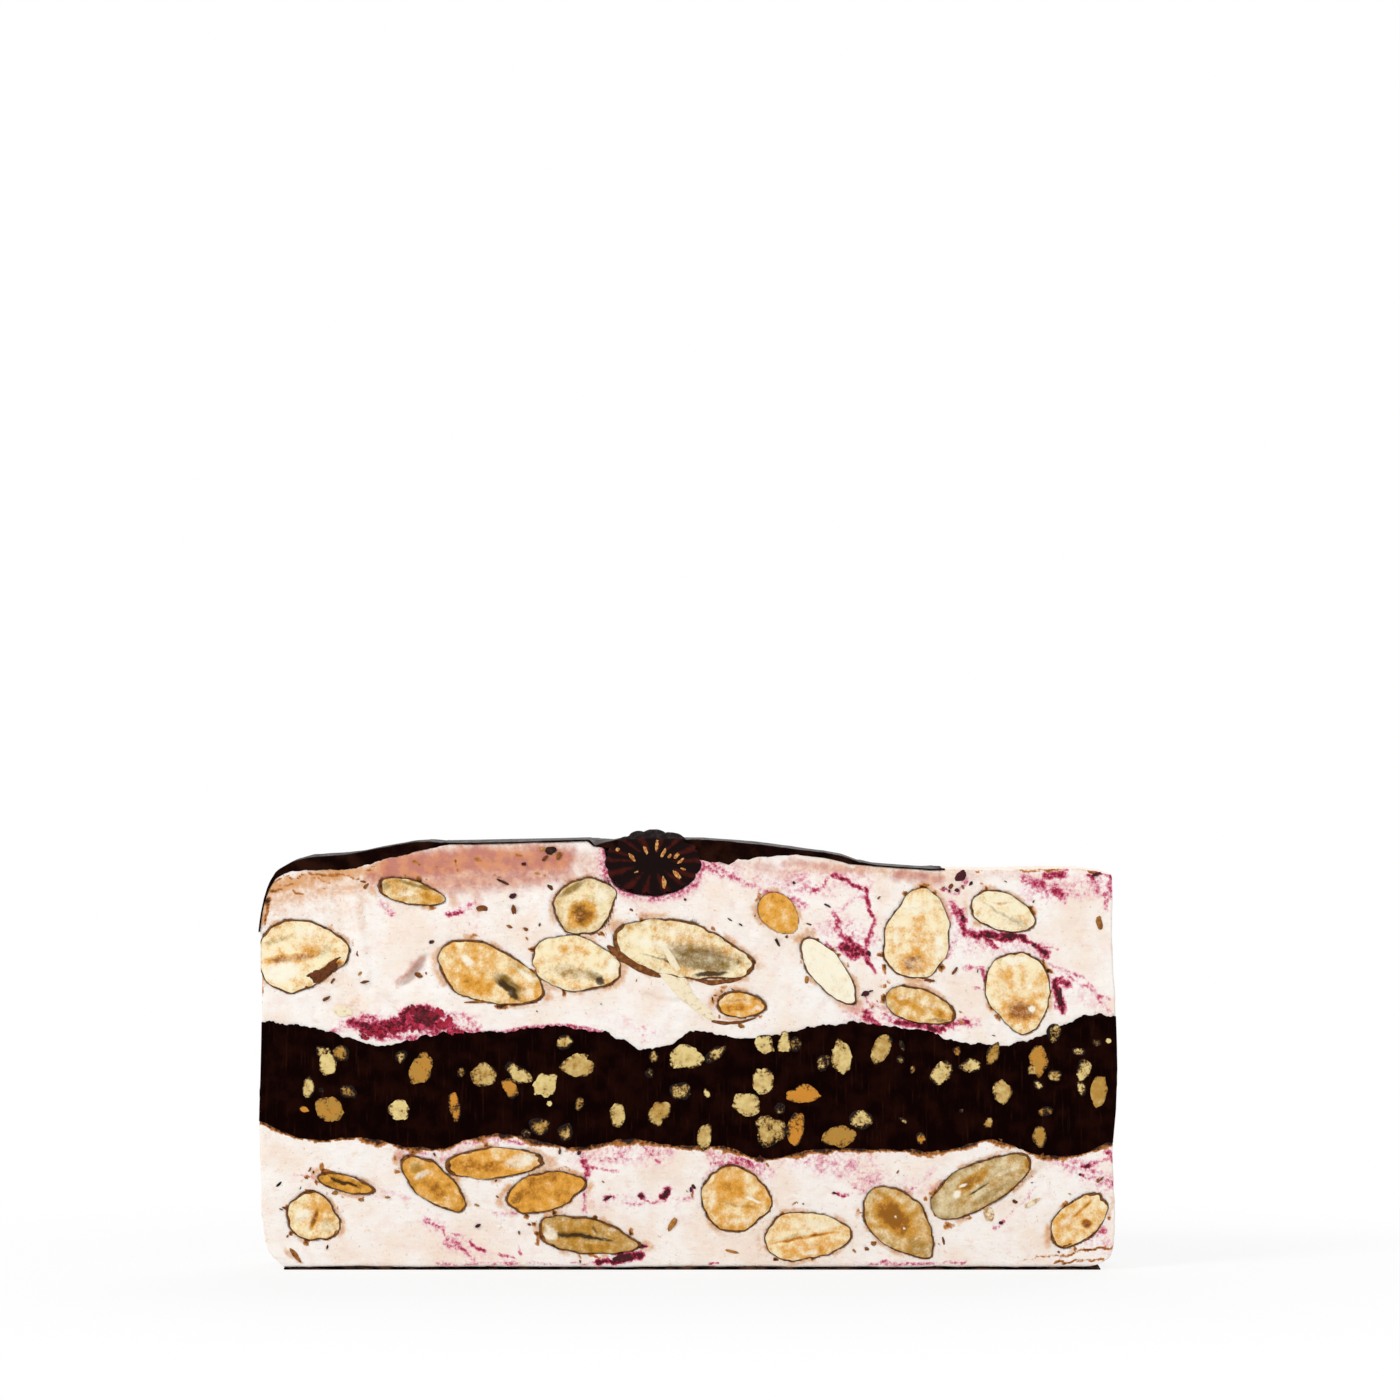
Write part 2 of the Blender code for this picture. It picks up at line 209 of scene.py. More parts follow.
left_end, right_end = end_line(-1), end_line(1)
print("left end at half height", round(float(left_end(35.0)), 2), "right", round(float(right_end(35.0)), 2))

# %% [markdown]
# ## Random hills
#
# Every uneven surface here needs a smooth random height. Blender's own noise works one point at a time,
# so this one is written for whole arrays: random values on a lattice, blended between its corners. Its
# numbers come from the lattice places themselves, so it gives the same hills on every run.

# %% Noise for whole arrays
def lattice(x, y, z, seed):
    """A repeatable number from -1 to 1 for each whole-number place: big odd factors, then folded bits."""
    mixed = (x * 374761393 + y * 668265263 + z * 1442695041 + seed * 1274126177) & 0xFFFFFFFF
    mixed = ((mixed ^ (mixed >> 13)) * 1274126177) & 0xFFFFFFFF
    return ((mixed ^ (mixed >> 16)) & 0xFFFF) / 32767.5 - 1.0


def hills(points, size, seed=0):
    """Smooth random hills from -1 to 1 and about size wide, blended with the curve 3t^2 - 2t^3."""
    places = np.asarray(points, float) / size
    cell = np.floor(places).astype(np.int64)
    t = places - cell
    t = t * t * (3 - 2 * t)
    total = np.zeros(len(places))
    for corner in np.ndindex(2, 2, 2):
        weight = np.prod(np.where(corner, t, 1 - t), axis=1)
        total += weight * lattice(*(cell + corner).T, seed)
    return total


def rough(points, size, octaves, seed=0, keep=0.5):
    """Hills with smaller hills on them: each octave is half as wide and keeps a share of the height."""
    total, height = np.zeros(len(points)), 1.0
    for octave in range(octaves):
        total += height * hills(points, size / 2**octave, seed + octave)
        height *= keep
    return total


def flat_points(x, z, y=0.0):
    """Points of a cut face as rows, for the hills."""
    x, z = np.broadcast_arrays(x, z)
    return np.column_stack((x.ravel(), np.full(x.size, y), z.ravel()))


print("hills from", *np.round([hills(flat_points(ray_x, 0 * ray_x), 2.0).min()], 2))

# %% [markdown]
# ## Turning arrays into pieces
#
# Each piece is a stack of rings: rows of points that close on themselves, with a fan at each end. That
# one form covers a layer, a cut almond and a nut crumb, so one function numbers the faces for all.
# Colour that follows the shape, such as juice or roasting, goes into a colour attribute of the mesh.

# %% Grids, rings and meshes
def ring_faces(rows, columns):
    """Quads between rings of points numbered ring by ring, where the last column joins the first."""
    row, column = np.meshgrid(np.arange(rows - 1), np.arange(columns), indexing="ij")
    after = (column + 1) % columns
    here, above = row * columns, (row + 1) * columns
    corners = (here + column, here + after, above + after, above + column)
    return np.stack(corners, axis=-1).reshape(-1, 4)


def closed_stack(rings):
    """Points and faces of a closed body: the rings, and a fan from each end ring onto its middle."""
    rows, columns = rings.shape[:2]
    points = np.vstack((rings.reshape(-1, rings.shape[2]), rings[0].mean(0), rings[-1].mean(0)))
    here = np.arange(columns)
    after = (here + 1) % columns
    blank = np.full(columns, -1)
    top = (rows - 1) * columns
    start = np.column_stack((np.full(columns, rows * columns), after, here, blank))
    end = np.column_stack((np.full(columns, rows * columns + 1), top + here, top + after, blank))
    return points, np.vstack((ring_faces(rows, columns), start, end))


def volume(points, faces):
    """The volume inside, by the rule that sums each triangle's pyramid to the origin."""
    halves = [faces[:, [0, 1, 2]], faces[faces[:, 3] >= 0][:, [0, 2, 3]]]
    corners = points[np.vstack(halves)]
    return np.einsum("ij,ij->i", corners[:, 0], np.cross(corners[:, 1], corners[:, 2])).sum() / 6


def outward(points, faces):
    """The same faces, turned round if they face inwards."""
    if volume(points, faces) > 0:
        return faces
    turned = faces[:, ::-1]
    return np.where(turned[:, :1] < 0, np.roll(turned, -1, axis=1), turned)


def joined(bodies):
    """Several (points, faces, colours) bodies as one."""
    points, faces, colours, first = [], [], [], 0
    for body_points, body_faces, body_colours in bodies:
        points.append(body_points)
        faces.append(np.where(body_faces < 0, -1, body_faces + first))
        colours.append(body_colours)
        first += len(body_points)
    return np.vstack(points), np.vstack(faces), np.vstack(colours)


def add_piece(name, points, faces, materials, slot, nodes=(), colours=None, material_of=None):
    """A piece at the origin from points in millimetres. Four numbers a point go into its tint attribute."""
    mesh = bpy.data.meshes.new(name)
    counts = (faces >= 0).sum(axis=1)
    corners = faces[faces >= 0]
    mesh.vertices.add(len(points))
    mesh.vertices.foreach_set("co", (points * MM).astype(np.float32).ravel())
    mesh.loops.add(len(corners))
    mesh.loops.foreach_set("vertex_index", corners.astype(np.int32))
    mesh.polygons.add(len(faces))
    mesh.polygons.foreach_set("loop_start", (np.cumsum(counts) - counts).astype(np.int32))
    mesh.polygons.foreach_set("use_smooth", np.ones(len(faces), bool))
    if material_of is not None:
        mesh.polygons.foreach_set("material_index", material_of.astype(np.int32))
    for made in materials:
        mesh.materials.append(made)
    mesh.update(calc_edges=True)
    if colours is not None:
        tint = mesh.attributes.new("tint", "FLOAT_COLOR", "POINT")
        tint.data.foreach_set("color", np.clip(colours, 0, 1).astype(np.float32).ravel())
    piece = bpy.data.objects.new(name, mesh)
    bpy.context.scene.collection.objects.link(piece)
    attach(piece, "root")
    if nodes:
        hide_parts(*nodes)
    print(name, len(points), "points,", int((counts - 2).sum()), "triangles")
    return piece


# %% [markdown]
# ## Camera, light and floor
#
# The slice stands with its cut face to the camera, seen from far enough that its top hardly shows. The
# light is a large softbox at the upper left, a weaker one at the right, and white all round, at a level
# where a colour renders about as it is written. The floor is white paper, lit to plain white for the
# camera, and keeps a faint shadow.

# %% Camera
CAMERA_DISTANCE = 1200.0  # from the cut face
CAMERA_SIDE = 2.1
CAMERA_HEIGHT = 99.4
VIEW_WIDTH = 244.2  # seen across, at the cut face
SENSOR = 36.0

scene = bpy.context.scene
scene.view_settings.view_transform = "Standard"
camera = bpy.data.objects.new("camera", bpy.data.cameras.new("camera"))
camera.data.sensor_width = SENSOR
camera.data.lens = SENSOR * CAMERA_DISTANCE / VIEW_WIDTH
camera.data.clip_start = 0.05
camera.data.clip_end = 20.0
camera.location = Vector((CAMERA_SIDE, FRONT - CAMERA_DISTANCE, CAMERA_HEIGHT)) * MM
camera.rotation_euler = (math.radians(90), 0, 0)
scene.collection.objects.link(camera)
scene.camera = camera
print("lens", round(camera.data.lens, 1), "mm")


# %% Lamps
def add_lamp(name, place, target, size, power):
    """A square softbox that faces a point, in metres."""
    lamp = bpy.data.objects.new(name, bpy.data.lights.new(name, "AREA"))
    lamp.data.shape = "SQUARE"
    lamp.data.size = size
    lamp.data.energy = power
    lamp.location = place
    lamp.rotation_euler = (Vector(target) - Vector(place)).to_track_quat("-Z", "Y").to_euler()
    scene.collection.objects.link(lamp)


TARGET = (0.0, 0.0, 0.04)
add_lamp("key_softbox", (-0.75, -0.75, 0.85), TARGET, 0.4, 7.3)
add_lamp("fill_softbox", (0.9, -0.9, 0.35), TARGET, 0.8, 2.3)
add_lamp("back_softbox", (0.2, 0.9, 0.8), TARGET, 0.8, 5.0)

# %% [markdown]
# ## Materials by nodes
#
# A material here is a Principled shader whose colour and bump come from a few nodes. One small function
# adds a node with its settings and links. Another turns a colour as a designer writes it, in sRGB, into
# the linear numbers that the shader wants, and a third turns a size in millimetres into a noise scale.

# %% Colours and nodes
def linear(code, alpha=1.0):
    """An sRGB hex colour as linear RGBA: the low part is a line, the rest a power of 2.4."""
    parts = np.array([int(code[i : i + 2], 16) for i in (1, 3, 5)]) / 255
    return (*np.where(parts <= 0.04045, parts / 12.92, ((parts + 0.055) / 1.055) ** 2.4), alpha)


def per_mm(size):
    """The scale at which a pattern on Object coordinates, in metres, repeats about once in size mm."""
    return 1 / (size * MM)


def add(tree, kind, settings=None, **inputs):
    """Adds a node. Inputs are values or the outputs to link, named with _ for a space, or i0, i1 by place."""
    node = tree.nodes.new(kind)
    for name, value in (settings or {}).items():
        setattr(node, name, value)
    for name, value in inputs.items():
        by_place = name[0] == "i" and name[1:].isdigit()
        socket = node.inputs[int(name[1:]) if by_place else name.replace("_", " ")]
        if isinstance(value, bpy.types.NodeSocket):
            tree.links.new(value, socket)
        else:
            socket.default_value = value
    return node


def new_material(name, **constants):
    """A material with a Principled shader whose constant sockets are set, and its tree and shader."""
    material = bpy.data.materials.new(name)
    material.use_nodes = True
    shader = material.node_tree.nodes["Principled BSDF"]
    for socket, value in constants.items():
        shader.inputs[socket.replace("_", " ")].default_value = value
    return material, material.node_tree, shader


def mix(tree, share, first, second, blend="MIX"):
    """One colour over another by a share."""
    settings = {"data_type": "RGBA", "blend_type": blend}
    return add(tree, "ShaderNodeMix", settings, i0=share, i6=first, i7=second).outputs[2]


def sum_up(tree, operation, first, second, third=0.0, clamp=False):
    """One arithmetic step."""
    settings = {"operation": operation, "use_clamp": clamp}
    return add(tree, "ShaderNodeMath", settings, i0=first, i1=second, i2=third).outputs[0]


def ramp(tree, value, low, high, first=0.0, last=1.0):
    """A value from low to high spread over first to last, with an S-curve and no overshoot."""
    settings = {"interpolation_type": "SMOOTHSTEP"}
    spread = {"From_Min": low, "From_Max": high, "To_Min": first, "To_Max": last}
    return add(tree, "ShaderNodeMapRange", settings, Value=value, **spread).outputs[0]


def noise(tree, place, size, detail=2.0, roughness=0.5):
    """Noise about size mm wide."""
    shape = {"Scale": per_mm(size), "Detail": detail, "Roughness": roughness}
    return add(tree, "ShaderNodeTexNoise", None, Vector=place, **shape).outputs["Fac"]


def places(tree, stretch=(1, 1, 1)):
    """Object coordinates, squeezed along each axis by a factor."""
    coordinates = add(tree, "ShaderNodeTexCoord").outputs["Object"]
    return add(tree, "ShaderNodeMapping", None, Vector=coordinates, Scale=stretch).outputs[0]


def bump(tree, shader, height, depth, strength=1.0):
    """Small relief of a depth in mm."""
    node = add(tree, "ShaderNodeBump", None, Height=height, Strength=strength, Distance=depth * MM)
    tree.links.new(node.outputs[0], shader.inputs["Normal"])


# %% Floor and world
def seen_white(tree, lit, kept, white_kind="ShaderNodeEmission"):
    """The lit surface for lamps, and for the camera and mirrors plain white with a share of it kept."""
    path = add(tree, "ShaderNodeLightPath").outputs
    seen = sum_up(tree, "MAXIMUM", path["Is Camera Ray"], path["Is Glossy Ray"])
    seen = sum_up(tree, "MAXIMUM", seen, path["Is Transmission Ray"])
    white = add(tree, white_kind, None, Color=(1, 1, 1, 1), Strength=1.0).outputs[0]
    share = sum_up(tree, "MULTIPLY", seen, sum_up(tree, "SUBTRACT", 1.0, kept))
    return add(tree, "ShaderNodeMixShader", None, i0=share, i1=lit, i2=white).outputs[0]


FLOOR_SIDE = 6.0
AMBIENT = 0.53
SHADOW_KEPT = 0.2  # share of the paper's real shade that shows round the slice; it fades out further away
paper = bpy.data.materials.new("white_paper")
paper.use_nodes = True
tree = paper.node_tree
tree.nodes.clear()
lit_paper = add(tree, "ShaderNodeBsdfDiffuse", None, Color=linear("#f4f4f4")).outputs[0]
away = add(tree, "ShaderNodeVectorMath", {"operation": "LENGTH"}, i0=places(tree)).outputs["Value"]
shadow_kept = ramp(tree, away, 0.08, 0.2, SHADOW_KEPT, 0.0)
add(tree, "ShaderNodeOutputMaterial", None, Surface=seen_white(tree, lit_paper, shadow_kept))
corner = FLOOR_SIDE / 2
square = ((-corner, -corner, 0), (corner, -corner, 0), (corner, corner, 0), (-corner, corner, 0))
floor_mesh = bpy.data.meshes.new("floor")
floor_mesh.from_pydata(square, [], [(0, 1, 2, 3)])
floor_mesh.materials.append(paper)
floor = bpy.data.objects.new("floor", floor_mesh)
scene.collection.objects.link(floor)

world = bpy.data.worlds.new("white_room")
world.use_nodes = True
tree = world.node_tree
tree.nodes.clear()
around = add(tree, "ShaderNodeBackground", None, Color=(1, 1, 1, 1), Strength=AMBIENT).outputs[0]
room = seen_white(tree, around, 0.0, "ShaderNodeBackground")
add(tree, "ShaderNodeOutputWorld", None, Surface=room)
scene.world = world

# %% [markdown]
# ## A layer as a loft
#
# A box with a displaced skin would leave its edges straight and its corners split. Here a layer is one
# closed stack of cross-sections along X. Each runs up the front face, over the roof, down the back and
# forward under the floor, with a small round at each corner, and the end sections shrink onto a middle
# point. Every point keeps its outward direction, so that relief can be laid on afterwards.

# %% Cross-sections of a layer
def loop_plan(front_rows, deep_rows, back_rows, arc=2):
    """How a section runs: for each point its depth share, its round share, height share and direction.

    A point lies at depth * D + round_y * r from the front and height * H + round_z * r above the floor,
    for a section D deep and H high with corners of radius r.
    """
    up = np.linspace(0, 1, front_rows)
    down = np.linspace(1, 0, back_rows)
    deep = np.linspace(0, 1, deep_rows + 2)[1:-1]
    turn = np.linspace(0, math.pi / 2, arc + 2)[1:-1]
    sine, cosine, one, zero = np.sin(turn), np.cos(turn), np.ones(arc), np.zeros(arc)
    runs = (
        (0 * up, 0 * up, up, 1 - 2 * up, 0 * up - 1, 0 * up),
        (zero, 1 - cosine, one, sine - 1, -cosine, sine),
        (deep, 1 - 2 * deep, 0 * deep + 1, 0 * deep, 0 * deep, 0 * deep + 1),
        (one, sine - 1, one, cosine - 1, sine, cosine),
        (0 * down + 1, 0 * down, down, 1 - 2 * down, 0 * down + 1, 0 * down),
        (one, cosine - 1, zero, 1 - sine, cosine, -sine),
        (1 - deep, 2 * deep - 1, 0 * deep, 0 * deep, 0 * deep, 0 * deep - 1),
        (zero, 1 - sine, zero, 1 - cosine, -sine, -cosine),
    )
    return [np.concatenate(parts) for parts in zip(*runs)]


def columns_between(start, end, pitch, crowd=3.0, reach=2.5):
    """Places along X about a pitch apart, and up to crowd times closer within reach of either end."""
    fine = np.linspace(start, end, 4000)
    edge = np.minimum(fine - start, end - fine)
    amount = np.cumsum(1 + (crowd - 1) * np.exp(-edge / reach))
    amount = (amount - amount[0]) / (amount[-1] - amount[0])
    count = int((end - start) / pitch) + int(2 * (crowd - 1) * reach / pitch)
    return np.interp(np.linspace(0, 1, count), amount, fine)


def layer_stack(floor, roof, plan, pitch, radius, front, back, start=None, end=None, cap=16):
    """Rings of a layer and their outward directions. Without a start or end it runs to the slice's own."""
    depth, round_y, height, round_z, out_y, out_z = plan
    first = LOW[0] if start is None else start
    last = HIGH[0] if end is None else end
    x = columns_between(first, last, pitch)[:, None]
    span = back - front
    y = front + depth * span + 0 * x
    low, high = floor(x + 0 * y, y), roof(x + 0 * y, y)
    tall = np.maximum(high - low, 0.05)
    corner = np.minimum(radius, 0.42 * tall)
    y = y + round_y * corner
    z = low + height * tall + round_z * corner
    share = (x - LOW[0]) / LENGTH
    to_ends = left_end(z) + (right_end(z) - left_end(z)) * share
    x = np.where((start is None) & (share < 0.5) | (end is None) & (share >= 0.5), to_ends, x + 0 * z)
    edge = np.minimum(x - x[0], x[-1] - x)
    near = np.clip(1 - edge / radius, 0, 1)
    inset = radius * (1 - np.sqrt(1 - near**2))
    middle_y = (front + back) / 2
    middle_z = (low + high) / 2
    y = middle_y + (y - middle_y) * (1 - inset / (span / 2))
    z = middle_z + (z - middle_z) * (1 - np.minimum(inset / (tall / 2), 0.9))
    side = np.where(np.arange(len(x))[:, None] < len(x) / 2, -1.0, 1.0) * near
    rest = np.sqrt(1 - side**2)
    rings = np.stack((x, y, z), axis=-1)
    outs = np.stack((side, out_y * rest, out_z * rest), axis=-1)
    shrink = np.linspace(0.02, 1, cap, endpoint=False)[:, None, None]

    def end_rings(ring, way):
        """The end section shrunk in steps onto its middle, with outward ways turned along X."""
        middle = ring.mean(axis=0)
        made = middle + (ring - middle) * shrink
        if start is None:
            made[..., 0] = (left_end if way < 0 else right_end)(made[..., 2])
        direction = np.zeros_like(made)
        direction[..., 0] = way
        return made, direction

    left, left_out = end_rings(rings[0], -1.0)
    right, right_out = end_rings(rings[-1], 1.0)
    return np.vstack((left, rings, right[::-1])), np.vstack((left_out, outs, right_out[::-1]))


# %% [markdown]
# ## Where the almonds lie
#
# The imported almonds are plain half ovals. Their cut faces give the centre, the direction and the half
# sizes of each real one: the direction is the long axis of the face's points, found from how they
# spread, and the blunt end is the one where the points lie further from that axis.

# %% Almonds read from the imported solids
def read_almond(name):
    """Centre, long axis, half length, half breadth and reach of an almond, from its cut face."""
    points = np.array([v.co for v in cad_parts[name].data.vertices]) / MM
    facing = -1 if points[:, 1].mean() < (LOW[1] + HIGH[1]) / 2 else 1
    plane = LOW[1] if facing < 0 else HIGH[1]
    face = np.unique(np.round(points[np.abs(points[:, 1] - plane) < 0.02][:, [0, 2]], 3), axis=0)
    middle = (face.min(0) + face.max(0)) / 2
    vectors = np.linalg.eigh(np.cov((face - middle).T))[1]
    axis = vectors[:, 1]
    along = (face - middle) @ axis
    across = (face - middle) @ np.array((-axis[1], axis[0]))
    if np.abs(across[along > 0]).sum() > np.abs(across[along < 0]).sum():
        axis, along, across = -axis, -along, -across
    centre = middle + axis * (along.max() + along.min()) / 2
    centre = centre + np.array((-axis[1], axis[0])) * (across.max() + across.min()) / 2
    return {
        "name": name, "facing": facing, "x": centre[0], "z": centre[1], "axis": axis,
        "long": np.ptp(along) / 2, "broad": np.ptp(across) / 2, "reach": np.ptp(points[:, 1]),
    }


almonds = {name: read_almond(name) for name in sorted(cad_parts) if "almond" in name}
print(len(almonds), "almonds, the longest", round(2 * max(a["long"] for a in almonds.values()), 1), "mm")

